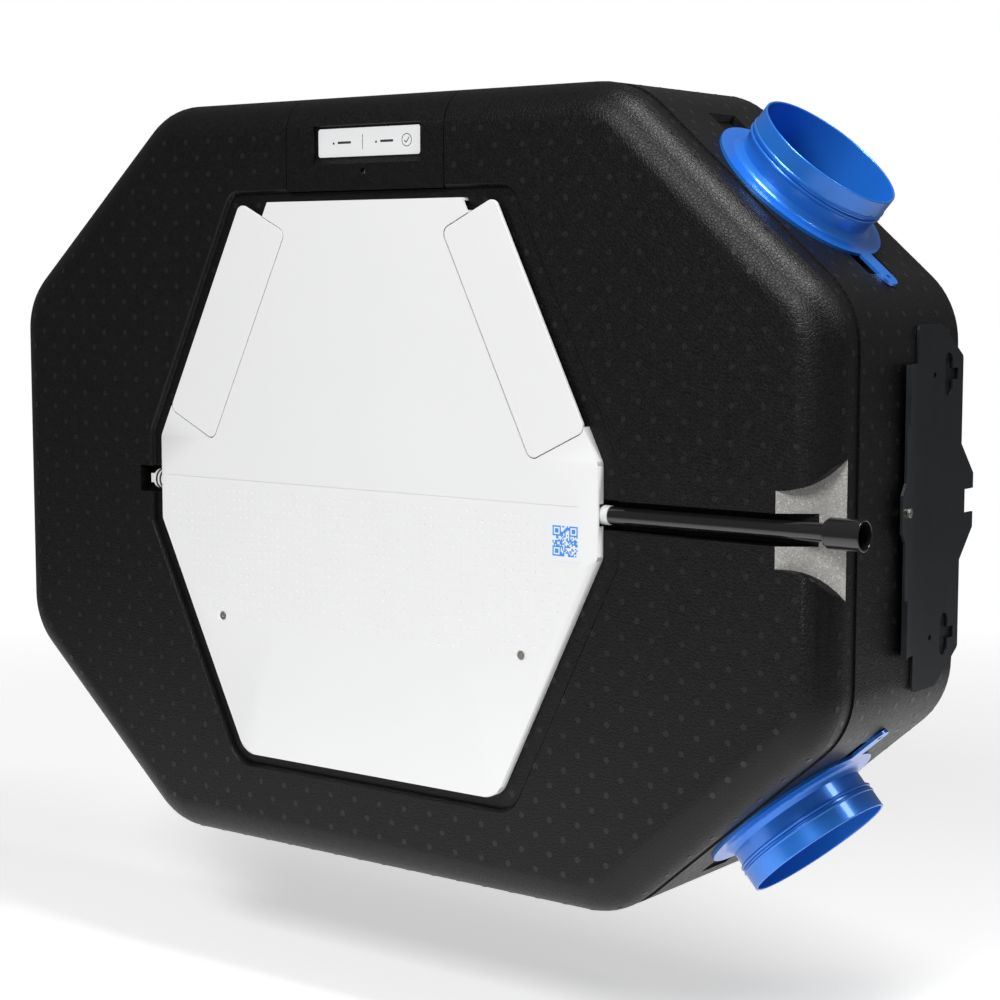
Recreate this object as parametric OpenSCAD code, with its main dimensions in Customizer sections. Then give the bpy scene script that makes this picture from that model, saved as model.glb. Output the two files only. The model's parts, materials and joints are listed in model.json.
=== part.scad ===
// Wall-hung heat recovery unit: a two-part foam body around a counterflow exchanger,
// two filters and two fans, with a plastic front cover, two round duct spigots on the right and two
// ports on the left that ducts push straight into.
// X runs to the right, Y from the front to the wall, and Z up. The wall is at Y = 0,
// and the origin is on it, level with the notches of the hanging hooks.

/* [Foam body] */
// Width of the foam body
body_width = 1150; // [1000:5:1400]
// Height of the foam body
body_height = 865; // [780:5:1060]
// Depth of the foam body, from its front face to its back
body_depth = 282; // [250:1:345]
// Length of the top and bottom edges before their corners are rounded
top_edge = 640; // [520:5:780]
// Length of the two side edges before their corners are rounded
side_edge = 416; // [330:2:520]
// Radius of the outline's eight corners
corner_radius = 92; // [70:1:112]
// Radius of the rounded front edge
edge_round = 42; // [26:1:44]
// Radius of the rounded back edge
back_round = 10; // [4:1:16]
// Depth of the front shell, from the front face to the seam
front_shell_depth = 60; // [52:1:76]
// How far the skirt of the front shell steps in beside the seam
skirt_step = 2; // [0.5:0.5:4]
// Thickness of the foam in the outer walls
foam_wall = 42; // [32:1:52]
// Thickness of the foam in the back wall
back_wall = 30; // [22:1:38]
// Thickness of the foam behind the front face
front_wall = 40; // [32:1:48]

/* [Front cover] */
// Width of the front cover across its short upright sides
cover_width = 628; // [560:2:700]
// Height of the cover's top edge above the middle
cover_top = 317; // [285:1:340]
// Depth of the cover's bottom edge below the middle
cover_bottom = 320; // [285:1:345]
// Length of the cover's top edge
cover_top_edge = 364; // [320:2:400]
// Length of the cover's bottom edge
cover_bottom_edge = 368; // [320:2:400]
// Height of the upper end of the upright sides above the middle
cover_side_high = 46; // [30:1:60]
// Depth of the lower end of the upright sides below the middle
cover_side_low = 52; // [30:1:65]
// How far the cover stands proud of the foam face
cover_proud = 4; // [2:0.5:7]
// Thickness of the cover's plastic
cover_wall = 3; // [2:0.5:4]
// Depth of the recess that the cover sits in
recess_depth = 7; // [5:0.5:12]
// Gap between the cover's sides and the recess
recess_gap = 21; // [14:1:26]
// Gap above the cover's top edge
recess_gap_top = 11; // [8:1:14]
// Gap below the cover's bottom edge
recess_gap_bottom = 13; // [8:1:18]
// Chamfer round the recess
recess_chamfer = 3; // [1:0.5:5]
// Width of a filter door
door_width = 77; // [66:1:84]
// Length of a filter door
door_length = 265; // [240:1:280]
// Thickness of a filter door
door_thickness = 4; // [3:0.5:5]
// Gap round each filter door
door_gap = 1.2; // [0.8:0.1:2]

/* [Control cover] */
// Width of the control cover
control_width = 224; // [200:2:240]
// Width of the label on the control cover
label_width = 145; // [120:1:150]
// Height of the label
label_height = 31; // [26:1:36]
// Height of the label's centre above the middle of the unit
label_z = 380; // [370:1:392]

/* [Ducts] */
// Outer diameter of the spigots that the ducts slide over
duct_diameter = 160; // [125:1:170]
// Wall thickness of a spigot
duct_wall = 2.5; // [2:0.5:4]
// Width of the flange round a spigot
flange_width = 19.5; // [14:0.5:24]
// Length of a spigot outside the body
duct_length = 54; // [45:1:64]
// Length of a spigot's sleeve inside the body
sleeve_length = 36; // [28:1:40]
// Distance of the duct axes behind the foam face
duct_depth = 164; // [150:1:176]

/* [Drain] */
// Height of the drain pipe's axis, measured from the middle
drain_z = -7; // [-12:1:0]
// Outer diameter of the drain pipe
drain_diameter = 18.5; // [15:0.5:20]
// Outer diameter of the socket on the drain pipe's end
socket_diameter = 31; // [28:0.5:34]
// Inner diameter of that socket
socket_bore = 27; // [24:0.5:28]
// Width of the channel that the drain pipe lies in
channel_width = 32; // [28:1:36]

/* [Inside] */
// Length of a filter along its door
filter_length = 250; // [220:1:255]
// Thickness of a filter
filter_thickness = 50; // [40:1:55]
// Width of the exchanger across its upright sides
exchanger_width = 430; // [380:2:436]
// Height of the exchanger
exchanger_height = 540; // [500:2:548]
// Diameter of a fan impeller
impeller_diameter = 180; // [150:2:190]
// Number of blades on an impeller
blade_count = 22; // [16:1:28]

/* [Hanging brackets] */
// Distance between the body's back and the wall
wall_gap = 32; // [24:1:40]
// Height of a bracket
bracket_height = 374; // [330:2:400]
// Thickness of the bracket's steel
bracket_steel = 2.5; // [1.5:0.5:4]
// Height of the notch in a hook
hook_notch = 25; // [18:1:30]

/* [Hidden] */
$fn = 64;

// Clearances
slip = 0.3;
part_gap = 1;
cut = 1;

// Planes across the depth, from the front to the wall
back_y = -wall_gap;
face_y = back_y - body_depth;
seam_y = face_y + front_shell_depth;
cavity_front_y = face_y + front_wall;
cavity_back_y = back_y - back_wall;
cover_y = face_y - cover_proud;
floor_y = face_y + recess_depth;

// The body's outline
bevel_angle = atan2((body_height - side_edge) / 2, (body_width - top_edge) / 2);
bevel_mid = [(body_width + top_edge) / 4, (body_height + side_edge) / 4];
cavity_radius = corner_radius - foam_wall;

// The slanted sides of the cover, as unit normals
upper_normal = unit([cover_top - cover_side_high, (cover_width - cover_top_edge) / 2]);
lower_normal = unit([cover_bottom - cover_side_low, (cover_width - cover_bottom_edge) / 2]);
slope_tilt = atan2(upper_normal.y, upper_normal.x);
cover_reach = upper_normal * [cover_top_edge / 2, cover_top];
cover_corner = 13;
cover_low_corner = 26;
cover_rim_back_y = floor_y - slip;
cover_screw_x = cover_width / 2 - 97;
cover_screw_z = 159 - cover_bottom;
code_size = [40, 42];
code_place = [cover_width / 2 - 40, -36];

// The filter doors, with their filters behind them
door_outer = [cover_top_edge / 2, cover_top];
slope_down = [upper_normal.y, -upper_normal.x];
door_centre = door_outer - upper_normal * door_width / 2 + slope_down * door_length / 2;
door_corner = 9;
slot_gap = 3;
filter_front_y = face_y + 26;
filter_back_y = cavity_back_y - 4;
filter_rim = 8;
pleat_inset = 3;
pleat_sheet = 2.4;

// The exchanger, in a bay that the filters and fans look onto
exchanger_reach = cover_reach - door_width - 3;
exchanger_front_y = face_y + 26;
exchanger_back_y = cavity_back_y - 4;
end_plate = 6;
bay_gap = 2;
strap_half = 70;
strap_width = 22;
strap_thickness = 3.2;
strap_z = 60;

// The control cover and what is under it
control_low = cover_top + recess_gap_top;
control_gap = 1;
label_x = 4;
label_sink = 5.5;
control_screw_z = control_low + 20;
divider_half = 118;
housing_half = 98;
housing_low = control_low + 8;
housing_high = min(body_height / 2 - foam_wall - 6, housing_low + 52);
housing_wall = 2.5;
housing_front_y = face_y + 18;
housing_back_y = face_y + 116;

// The ducts
duct_radius = duct_diameter / 2;
duct_y = face_y + duct_depth;
flange_radius = duct_radius + flange_width;
flange_thickness = 3.5;
seal_thickness = 4;
port_radius = duct_radius + seal_thickness + 1.8;

// The drain
drain_y = face_y + 10;
manifold_radius = 10;
collar_end = cover_width / 2 + 8;
socket_start = body_width / 2 - 6;
socket_length = 40;
pipe_wall = 1.6;
plug_radius = 11.5;
plug_start = -cover_width / 2;
plug_pocket_start = plug_start - recess_gap - 20;

// The fans
fan_inset = 175;
fan_x = bevel_mid.x - sin(bevel_angle) * fan_inset;
fan_z = bevel_mid.y - cos(bevel_angle) * fan_inset;
fan_front_y = cavity_front_y + 34;
fan_back_y = cavity_back_y - 26;
fan_wall = 2.5;
impeller_radius = impeller_diameter / 2;
motor_radius = impeller_radius * 0.5;
shaft_radius = 4;
sensor_radius = 3;

// The hanging brackets
web_front_y = back_y - 104;
web_x = body_width / 2 + slip;
slot_y = back_y - 34;
slot_z = bracket_height / 2 - 52;
bracket_hole = 3;
hook_half = 61;
strip_fold = 10;
strip_width = 34;
lug_screw_y = -26;

function unit(v) = v / norm(v);

// Where a line with this unit normal and reach crosses a height, and a width
function line_x(normal, reach, z) = (reach - normal.y * z) / normal.x;
function line_z(normal, reach, x) = (reach - normal.x * x) / normal.y;

// The corners of an outline that is the same on both sides, from those on its right
function both_sides(right) = concat(right, [for (i = [len(right) - 1:-1:0]) [-right[i].x, right[i].y]]);

function body_points(inset) =
    let (x = body_width / 2 - inset, z = body_height / 2 - inset,
        a = top_edge / 2 - inset * tan(bevel_angle / 2),
        b = side_edge / 2 - inset * tan(45 - bevel_angle / 2))
    both_sides([[a, z], [x, b], [x, -b], [a, -z]]);

// The cover's outline, widened by a gap at the sides, the top and the bottom
function cover_points(side, top, bottom) =
    let (x = cover_width / 2 + side, high = cover_top + top, low = cover_bottom + bottom,
        up = cover_reach + side, down = lower_normal * [cover_bottom_edge / 2, cover_bottom] + side)
    both_sides([[line_x(upper_normal, up, high), high], [x, line_z(upper_normal, up, x)],
        [x, -line_z(lower_normal, down, x)], [line_x(lower_normal, down, low), -low]]);

function exchanger_points(gap) =
    let (x = exchanger_width / 2 + gap, z = exchanger_height / 2 + gap, reach = exchanger_reach + gap,
        a = line_x(upper_normal, reach, z), b = line_z(upper_normal, reach, x))
    both_sides([[a, z], [x, b], [x, -b], [a, -z]]);

// Points on an arc between two arms that start at its centre
function arc(centre, arm, last, step) =
    let (turn = acos(unit(arm) * unit(last)), n = max(2, ceil(turn / step)))
    [for (k = [0:n]) centre + (arm * sin(turn * (1 - k / n)) + last * sin(turn * k / n)) / sin(turn)];

// An outline with every corner rounded to its own radius
function rounded_points(points, radii, step = 6) =
    let (n = len(points))
    [for (i = [0:n - 1])
        let (q = points[i], a = unit(points[(i + n - 1) % n] - q), b = unit(points[(i + 1) % n] - q),
            half = acos(a * b) / 2, r = radii[i % len(radii)], centre = q + unit(a + b) * r / sin(half))
        each arc(centre, q + a * r / tan(half) - centre, q + b * r / tan(half) - centre, step)];

module rounded(points, radii)
    polygon(rounded_points(points, radii));

// A solid between outlines that have the same number of points, each at its own depth, from the
// front to the back
module loft(outlines, depths) {
    n = len(outlines[0]);
    last = len(outlines) - 1;
    polyhedron(
        points = [for (i = [0:last], p = outlines[i]) [p.x, depths[i], p.y]],
        faces = concat(
            [[for (j = [0:n - 1]) j]],
            [for (i = [0:last - 1], j = [0:n - 1])
                [i * n + j, (i + 1) * n + j, (i + 1) * n + (j + 1) % n, i * n + (j + 1) % n]],
            [[for (j = [n - 1:-1:0]) last * n + j]]));
}

// An outline in X and Z, drawn out along Y from one depth to another
module plate(front, back)
    translate([0, back, 0])
        rotate([90, 0, 0])
            linear_extrude(back - front)
                children();

// A round bar along Y
module bar_y(x, z, r, front, back)
    translate([x, back, z])
        rotate([90, 0, 0])
            cylinder(r = r, h = back - front);

// A round bar along X
module bar_x(y, z, r, from, to)
    translate([from, y, z])
        rotate([0, 90, 0])
            cylinder(r = r, h = to - from);

// A block between two corners
module block(low, high)
    translate(low)
        cube(high - low);

// Places its children on one side, at the top or the bottom
module placed(side, level) {
    if (side < 0)
        mirror([1, 0, 0])
            placed(1, level) children();
    else if (level < 0)
        mirror([0, 0, 1])
            children();
    else
        children();
}

// A frame on a bevel, with local Z out along the duct and local X towards the side edge
module at_port(side, level)
    placed(side, level)
        translate([bevel_mid.x, duct_y, bevel_mid.y])
            rotate([0, bevel_angle, 0])
                children();

// A frame under a filter door, with local X out of the cover and local Z up its slanted side
module at_door(side)
    placed(side, 1)
        translate([door_centre.x, 0, door_centre.y])
            rotate([0, -slope_tilt, 0])
                children();

module body_outline(inset, r)
    rounded(body_points(inset), [r]);

function cover_rounded(side, top, bottom, grow) =
    rounded_points(cover_points(side, top, bottom),
        [for (i = [0:7]) (i == 3 || i == 4 ? cover_low_corner : cover_corner) + grow]);

module cover_outline(grow)
    polygon(cover_rounded(grow, grow, grow, grow));

// The body's outline, inset all round
function body_rounded(inset) = rounded_points(body_points(inset), [corner_radius - inset]);

// A slab with the body's outline and one rounded edge, drawn forwards from its flat side at Y = 0.
// Behind the rounded edge it steps in to its skirt.
module rounded_slab(depth, r, step = 0) {
    turns = [for (turn = [90:-9:0]) turn];
    loft(
        concat([for (turn = turns) body_rounded(r * (1 - cos(turn)))],
            step > 0 ? [body_rounded(step)] : [], [body_rounded(step)]),
        concat([for (turn = turns) r - depth - r * sin(turn)], step > 0 ? [r - depth] : [], [0]));
}

// The recess that the cover sits in
function recess_points(grow) =
    cover_rounded(recess_gap + grow, recess_gap_top + grow, recess_gap_bottom + grow, 8);

module recess_outline(grow)
    polygon(recess_points(grow));

// A door's outline in its own frame, widened all round
module door_outline(grow)
    translate([-door_width / 2 - grow, -door_length / 2 - grow])
        rounded([[0, 0], [0, door_length + 2 * grow], [door_width + 2 * grow, door_length + 2 * grow],
            [door_width + 2 * grow, 0]], [door_corner + grow]);

// The same outline placed in the cover's frame
module door_in_cover(side, grow)
    mirror([side < 0 ? 1 : 0, 0])
        translate(door_centre)
            rotate(slope_tilt)
                door_outline(grow);

// What the door leaves of the cover: its outer side is open above the lip at its lower corner
module door_opening(side, grow) {
    door_in_cover(side, grow);
    mirror([side < 0 ? 1 : 0, 0])
        translate(door_centre)
            rotate(slope_tilt)
                translate([0, door_corner - door_length / 2])
                    square([door_width, door_length + recess_gap]);
}

// The opening that a filter slides through
module filter_slot(side, grow)
    mirror([side < 0 ? 1 : 0, 0])
        translate(door_centre)
            rotate(slope_tilt)
                square([filter_thickness + 2 * grow, filter_length + 2 * grow], center = true);

// The pocket where the drain pipe's channel meets the side: a slanted floor across the rounded
// edge, which widens like a swallow's tail
module channel_flare() {
    length = edge_round + 15;
    start = body_width / 2 - length;
    tail = [for (k = [0:8]) [start + length * k / 8, 38 + 32 * pow(k / 8, 2.5)]];
    edge = concat(tail, [[body_width / 2 + 20, 84]]);
    intersection() {
        plate(face_y - 2 * cut, seam_y)
            translate([0, drain_z])
                polygon(concat(edge, [for (i = [len(edge) - 1:-1:0]) [edge[i].x, -edge[i].y]]));
        translate([0, 0, -body_height / 2])
            linear_extrude(body_height)
                polygon([[start - 2 * cut, face_y - cut], [start, face_y],
                    [body_width / 2 - 1, face_y + edge_round - 3], [body_width / 2 + 10, face_y + edge_round - 3],
                    [body_width / 2 + 10, face_y - cut]]);
    }
}

// Front shell -------------------------------------------------------------
module front_form()
    translate([0, seam_y, 0])
        rounded_slab(front_shell_depth, edge_round, skirt_step);

module control_notch(gap)
    block([-control_width / 2 - gap, face_y - cut, control_low - gap],
        [control_width / 2 + gap, seam_y + cut, body_height / 2 + cut]);

module front_shell() color([0.13, 0.13, 0.135])
    difference() {
        front_form();
        // The recess round the cover, with its chamfer
        loft([recess_points(recess_chamfer + cut), recess_points(0), recess_points(0)],
            [face_y - cut, face_y + recess_chamfer, floor_y]);
        // The exchanger's bay and the filters' slots
        plate(floor_y - cut, seam_y + cut) {
            polygon(exchanger_points(bay_gap));
            filter_slot(1, slot_gap);
            filter_slot(-1, slot_gap);
        }
        // The air chambers behind the front wall
        plate(cavity_front_y, seam_y + cut)
            difference() {
                body_outline(foam_wall, cavity_radius);
                translate([-divider_half - 32, control_low - 8])
                    square([2 * divider_half + 64, body_height]);
            }
        control_notch(control_gap);
        // The channels of the drain pipe and the manifold, and the pocket of the plug
        block([cover_width / 2, face_y - cut, drain_z - channel_width / 2],
            [body_width, face_y + 24, drain_z + channel_width / 2]);
        channel_flare();
        block([-cover_width / 2 - cut, floor_y - cut, drain_z - manifold_radius - 1.5],
            [cover_width / 2 + cut, drain_y + manifold_radius + 1.5, drain_z + manifold_radius + 1.5]);
        bar_x(drain_y, drain_z, plug_radius + 4, plug_pocket_start, -cover_width / 2);
        block([plug_pocket_start, face_y - cut, drain_z - plug_radius - 4],
            [-cover_width / 2, drain_y, drain_z + plug_radius + 4]);
        for (x = [-cover_screw_x, cover_screw_x])
            bar_y(x, cover_screw_z, 2.6, floor_y - cut, floor_y + 26);
    }

// Rear shell --------------------------------------------------------------
module rear_shell() color([0.15, 0.15, 0.155])
    difference() {
        translate([0, seam_y, 0])
            mirror([0, 1, 0])
                rounded_slab(body_depth - front_shell_depth, back_round);
        plate(seam_y - cut, cavity_back_y)
            body_outline(foam_wall, cavity_radius);
        for (side = [1, -1], level = [1, -1])
            at_port(side, level) {
                translate([0, 0, -80])
                    cylinder(r = port_radius, h = 120);
                for (end = [1, -1])
                    translate([end * (flange_radius + 6), 0, -9])
                        linear_extrude(40)
                            square([40, 52], center = true);
            }
        bar_y(0, housing_low + 24, 12, cavity_back_y - cut, 0);
    }

// Foam blocks between the air chambers ------------------------------------
module side_divider(side)
    color([0.16, 0.16, 0.165])
        placed(side, 1)
            block([exchanger_width / 2 + bay_gap + 2, cavity_front_y, -22],
                [body_width / 2 - foam_wall, cavity_back_y, 22]);

module divider_left() side_divider(-1);
module divider_right() side_divider(1);

module divider_top() color([0.16, 0.16, 0.165])
    difference() {
        block([-divider_half, cavity_front_y, exchanger_height / 2 + bay_gap + 2],
            [divider_half, cavity_back_y, body_height / 2 - foam_wall]);
        block([-divider_half - cut, cavity_front_y - cut, control_low - 8],
            [divider_half + cut, seam_y, body_height]);
        block([-housing_half - part_gap, cavity_front_y - cut, housing_low - part_gap],
            [housing_half + part_gap, housing_back_y + part_gap, housing_high + part_gap]);
        bar_y(0, housing_low + 24, 12, seam_y, 0);
    }

module divider_bottom() color([0.16, 0.16, 0.165])
    block([-divider_half, cavity_front_y, foam_wall - body_height / 2],
        [divider_half, cavity_back_y, -exchanger_height / 2 - bay_gap - 2]);

// Electronics -------------------------------------------------------------
module controller_housing() color([0.24, 0.25, 0.27])
    difference() {
        block([-housing_half, housing_front_y, housing_low], [housing_half, housing_back_y, housing_high]);
        block([housing_wall - housing_half, housing_front_y - cut, housing_low + housing_wall],
            [housing_half - housing_wall, housing_back_y - housing_wall, housing_high - housing_wall]);
        bar_y(0, housing_low + 24, 10, housing_back_y - 10, housing_back_y + cut);
    }

module circuit_board() color([0.05, 0.32, 0.16]) {
    board_y = housing_front_y + 14;
    middle = (housing_low + housing_high) / 2;
    half = (housing_high - housing_low) / 2 - housing_wall - 1;
    block([-88, board_y, middle - half], [88, board_y + 1.6, middle + half]);
    for (x = [-70:28:70])
        block([x - 8, board_y + 1.6, middle - 9], [x + 8, board_y + 13, middle + 7]);
    for (x = [-56:28:56])
        bar_y(x, middle + 2, 4.5, board_y + 1.6, board_y + 20);
}

module terminal_blocks() color([0.1, 0.45, 0.2]) {
    board_y = housing_front_y + 14;
    for (x = [-76:38:76])
        difference() {
            block([x - 15, board_y - 9, housing_low + housing_wall + 4], [x + 15, board_y, housing_low + 16]);
            for (step = [-10:5:10])
                bar_y(x + step, housing_low + 11, 1.4, board_y - 9 - cut, board_y - 4);
        }
}

module cable_gland() color([0.07, 0.07, 0.075])
    difference() {
        union() {
            bar_y(0, housing_low + 24, 11.7, cavity_back_y, back_y + 3);
            bar_y(0, housing_low + 24, 17, back_y, back_y + 3);
        }
        bar_y(0, housing_low + 24, 7, cavity_back_y - cut, back_y + 3 + cut);
    }

// One in each air chamber, beside the port's inner mouth
module temperature_sensors() color([0.75, 0.76, 0.78])
    for (side = [1, -1], level = [1, -1])
        placed(side, level)
            translate([bevel_mid.x, 0, bevel_mid.y])
                rotate([0, bevel_angle, 0])
                    bar_y(port_radius + 14, -foam_wall - 33, sensor_radius, cavity_back_y - 46, cavity_back_y);

// Fans --------------------------------------------------------------------
// A volute that grows from its tongue to its mouth
module volute(grow)
    polygon([for (turn = [0:10:350])
        let (r = impeller_radius + 8 + grow + 24 * turn / 350)
        [r * cos(turn + 150), r * sin(turn + 150)]]);

module at_fan(side)
    placed(side, -1)
        translate([fan_x, 0, fan_z])
            children();

module fan_housing(side) color([0.2, 0.2, 0.21])
    at_fan(side)
        difference() {
            plate(fan_front_y, fan_back_y)
                volute(fan_wall);
            plate(fan_front_y + fan_wall, fan_back_y - fan_wall)
                volute(0);
            // Its inlet, its motor's opening and its mouth
            bar_y(0, 0, impeller_radius * 0.72, fan_front_y - cut, fan_front_y + fan_wall + cut);
            bar_y(0, 0, motor_radius + 2, fan_back_y - 10, fan_back_y + cut);
            rotate([0, bevel_angle, 0])
                block([-55, fan_front_y + 12, 20], [55, fan_back_y - 12, 200]);
        }

module fan_housing_left() fan_housing(-1);
module fan_housing_right() fan_housing(1);

module fan_motor(side) color([0.55, 0.56, 0.58])
    at_fan(side) {
        bar_y(0, 0, motor_radius, fan_back_y - 34, fan_back_y + 2);
        bar_y(0, 0, motor_radius * 0.6, fan_back_y + 2, cavity_back_y);
        bar_y(0, 0, shaft_radius, fan_back_y - 96, fan_back_y - 34);
    }

module fan_motor_left() fan_motor(-1);
module fan_motor_right() fan_motor(1);

module impeller(side) color([0.85, 0.86, 0.87])
    at_fan(side)
        translate([0, fan_back_y - 40, 0])
            rotate([90, 0, 0]) {
                depth = fan_back_y - fan_front_y - 62;
                difference() {
                    union() {
                        cylinder(r = impeller_radius, h = 3);
                        cylinder(r = 16, h = 40);
                    }
                    translate([0, 0, -cut])
                        cylinder(r = shaft_radius + slip / 4, h = 60);
                }
                translate([0, 0, depth - 3])
                    difference() {
                        cylinder(r = impeller_radius, h = 3);
                        translate([0, 0, -cut])
                            cylinder(r = impeller_radius * 0.7, h = 10);
                    }
                for (i = [0:blade_count - 1])
                    rotate(i * 360 / blade_count)
                        translate([impeller_radius * 0.85, 0, depth / 2])
                            rotate(35)
                                cube([impeller_radius * 0.26, 1.6, depth - 1], center = true);
            }

module impeller_left() impeller(-1);
module impeller_right() impeller(1);

// Exchanger ---------------------------------------------------------------
module exchanger_core() color([0.82, 0.85, 0.86])
    plate(exchanger_front_y + end_plate, exchanger_back_y - end_plate)
        polygon(exchanger_points(-3));

module exchanger_frame() color([0.9, 0.9, 0.9]) {
    for (front = [exchanger_front_y, exchanger_back_y - end_plate])
        plate(front, front + end_plate)
            polygon(exchanger_points(0));
    // Rails along the corners of the stack
    plate(exchanger_front_y + end_plate, exchanger_back_y - end_plate)
        for (p = exchanger_points(-1.5))
            difference() {
                intersection() {
                    translate(p)
                        circle(11);
                    polygon(exchanger_points(0));
                }
                polygon(exchanger_points(-3));
            }
}

module exchanger_strap() color([0.1, 0.1, 0.1])
    difference() {
        block([-strap_half, exchanger_front_y - strap_thickness, strap_z],
            [strap_half, exchanger_front_y, strap_z + strap_width]);
        block([18 - strap_half, exchanger_front_y - strap_thickness / 2, strap_z - cut],
            [strap_half - 18, exchanger_front_y + cut, strap_z + strap_width + cut]);
    }

module exchanger_gaskets() color([0.1, 0.1, 0.1]) {
    for (side = [1, -1])
        placed(side, 1)
            block([exchanger_width / 2 + slip, cavity_front_y + 2, -9],
                [exchanger_width / 2 + bay_gap + 2, cavity_back_y, 9]);
    for (level = [1, -1])
        placed(1, level)
            block([-45, cavity_front_y + 2, exchanger_height / 2 + slip],
                [45, cavity_back_y, exchanger_height / 2 + bay_gap + 2]);
}

module drain_manifold() color([0.93, 0.93, 0.93])
    difference() {
        union() {
            bar_x(drain_y, drain_z, manifold_radius, plug_start, collar_end);
            block([-60, drain_y + 6, drain_z - 8], [60, exchanger_front_y, drain_z + 8]);
        }
        bar_x(drain_y, drain_z, 7.5, plug_start - cut, collar_end + cut);
    }

// Front cover and what is behind it ---------------------------------------
module cover_without_doors(grow)
    difference() {
        cover_outline(-grow);
        door_opening(1, door_gap + grow);
        door_opening(-1, door_gap + grow);
    }

module front_cover() color([0.93, 0.935, 0.94])
    difference() {
        union() {
            plate(cover_y, cover_y + cover_wall)
                cover_without_doors(0);
            plate(cover_y + cover_wall, cover_rim_back_y)
                difference() {
                    cover_without_doors(0);
                    cover_without_doors(cover_wall);
                }
            for (x = [-cover_screw_x, cover_screw_x])
                bar_y(x, cover_screw_z, 8, cover_y + cover_wall, cover_rim_back_y);
        }
        // Notches over the drain's collar and plug, and holes for the screws
        for (x = [-cover_width / 2, cover_width / 2])
            block([x - 8, drain_y - manifold_radius - 0.6, drain_z - manifold_radius - 1.5],
                [x + 8, drain_y + 20, drain_z + manifold_radius + 1.5]);
        for (x = [-cover_screw_x, cover_screw_x]) {
            bar_y(x, cover_screw_z, 2.3, cover_y - cut, cover_rim_back_y + cut);
            bar_y(x, cover_screw_z, 5.2, cover_y - cut, cover_y + 2);
        }
        // The crease across the middle
        block([-cover_width / 2 + 9, cover_y - cut, -0.6], [cover_width / 2 - 24, cover_y + 0.5, 0.6]);
    }

module cover_insulation() color([0.17, 0.17, 0.175])
    plate(cover_y + cover_wall + 0.5, exchanger_front_y - 4.5)
        intersection() {
            polygon(exchanger_points(-2));
            difference() {
                square([body_width, body_height], center = true);
                translate([-body_width / 2, drain_z - manifold_radius - 2])
                    square([body_width, 2 * manifold_radius + 4]);
            }
        }

module cover_screws() color([0.55, 0.53, 0.5])
    for (x = [-cover_screw_x, cover_screw_x])
        difference() {
            union() {
                bar_y(x, cover_screw_z, 4.5, cover_y + 0.2, cover_y + 2);
                bar_y(x, cover_screw_z, 2, cover_y + 2, floor_y + 24);
            }
            bar_y(x, cover_screw_z, 1.4, cover_y - cut, cover_y + 1.4, $fn = 6);
        }

module code_label() color([0.35, 0.6, 0.85])
    plate(cover_y - 0.3, cover_y)
        translate(code_place)
            square(code_size, center = true);

// Filters and their doors -------------------------------------------------
module filter_door(side) color([0.94, 0.94, 0.945]) {
    plate(cover_y, cover_y + door_thickness)
        intersection() {
            cover_outline(0);
            door_in_cover(side, 0);
        }
}

module door_plug(side) color([0.16, 0.16, 0.165])
    plate(cover_y + door_thickness, filter_front_y - 2)
        filter_slot(side, slot_gap - 1);

module filter_frame(side) color([0.9, 0.91, 0.92])
    at_door(side)
        difference() {
            block([-filter_thickness / 2, filter_front_y, -filter_length / 2],
                [filter_thickness / 2, filter_back_y, filter_length / 2]);
            block([-filter_thickness, filter_front_y + filter_rim, filter_rim - filter_length / 2],
                [filter_thickness, filter_back_y - filter_rim, filter_length / 2 - filter_rim]);
        }

// One folded sheet, its pleats side by side from front to back
module filter_media(side) color([0.75, 0.85, 0.9])
    at_door(side)
        translate([0, filter_front_y + filter_rim, filter_rim - filter_length / 2])
            linear_extrude(filter_length - 2 * filter_rim) {
                pleats = 22;
                pleat_step = (filter_back_y - filter_front_y - 2 * filter_rim) / pleats;
                reach = filter_thickness / 2 - pleat_inset;
                folds = [for (i = [0:pleats]) [i % 2 == 0 ? -reach : reach - pleat_sheet, i * pleat_step]];
                polygon(concat(folds, [for (i = [pleats:-1:0]) folds[i] + [pleat_sheet, 0]]), convexity = 20);
            }

module filter_tab(side) color([0.2, 0.45, 0.75])
    at_door(side)
        block([-12, filter_front_y - 1.6, -16], [12, filter_front_y, 16]);

module filter_door_left() filter_door(-1);
module filter_door_right() filter_door(1);
module door_plug_left() door_plug(-1);
module door_plug_right() door_plug(1);
module filter_frame_left() filter_frame(-1);
module filter_frame_right() filter_frame(1);
module filter_media_left() filter_media(-1);
module filter_media_right() filter_media(1);
module filter_tab_left() filter_tab(-1);
module filter_tab_right() filter_tab(1);

// Control cover -----------------------------------------------------------
module control_cover() color([0.14, 0.14, 0.145])
    difference() {
        intersection() {
            front_form();
            block([-control_width / 2, face_y - cut, control_low],
                [control_width / 2, seam_y + cut, body_height]);
        }
        // The recess of the label, with a sloping ledge under it
        translate([label_x - label_width / 2 - 4, 0, 0])
            rotate([90, 0, 90])
                linear_extrude(label_width + 8)
                    polygon([[face_y - cut, label_z - label_height / 2 - 9],
                        [face_y - cut, label_z + label_height / 2 + 4],
                        [face_y + label_sink, label_z + label_height / 2 + 2],
                        [face_y + label_sink, label_z - label_height / 2 - 1]]);
        // The pocket for the controller
        block([-housing_half - part_gap, housing_front_y - part_gap, housing_low - part_gap],
            [housing_half + part_gap, seam_y + cut, housing_high + part_gap]);
        bar_y(0, control_screw_z, 3.5, face_y - cut, face_y + 8);
    }

module display_label() color([0.93, 0.93, 0.93])
    plate(face_y + label_sink - 0.6, face_y + label_sink)
        translate([label_x - label_width / 2, label_z - label_height / 2])
            rounded([[0, 0], [0, label_height], [label_width, label_height], [label_width, 0]], [3]);

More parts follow.
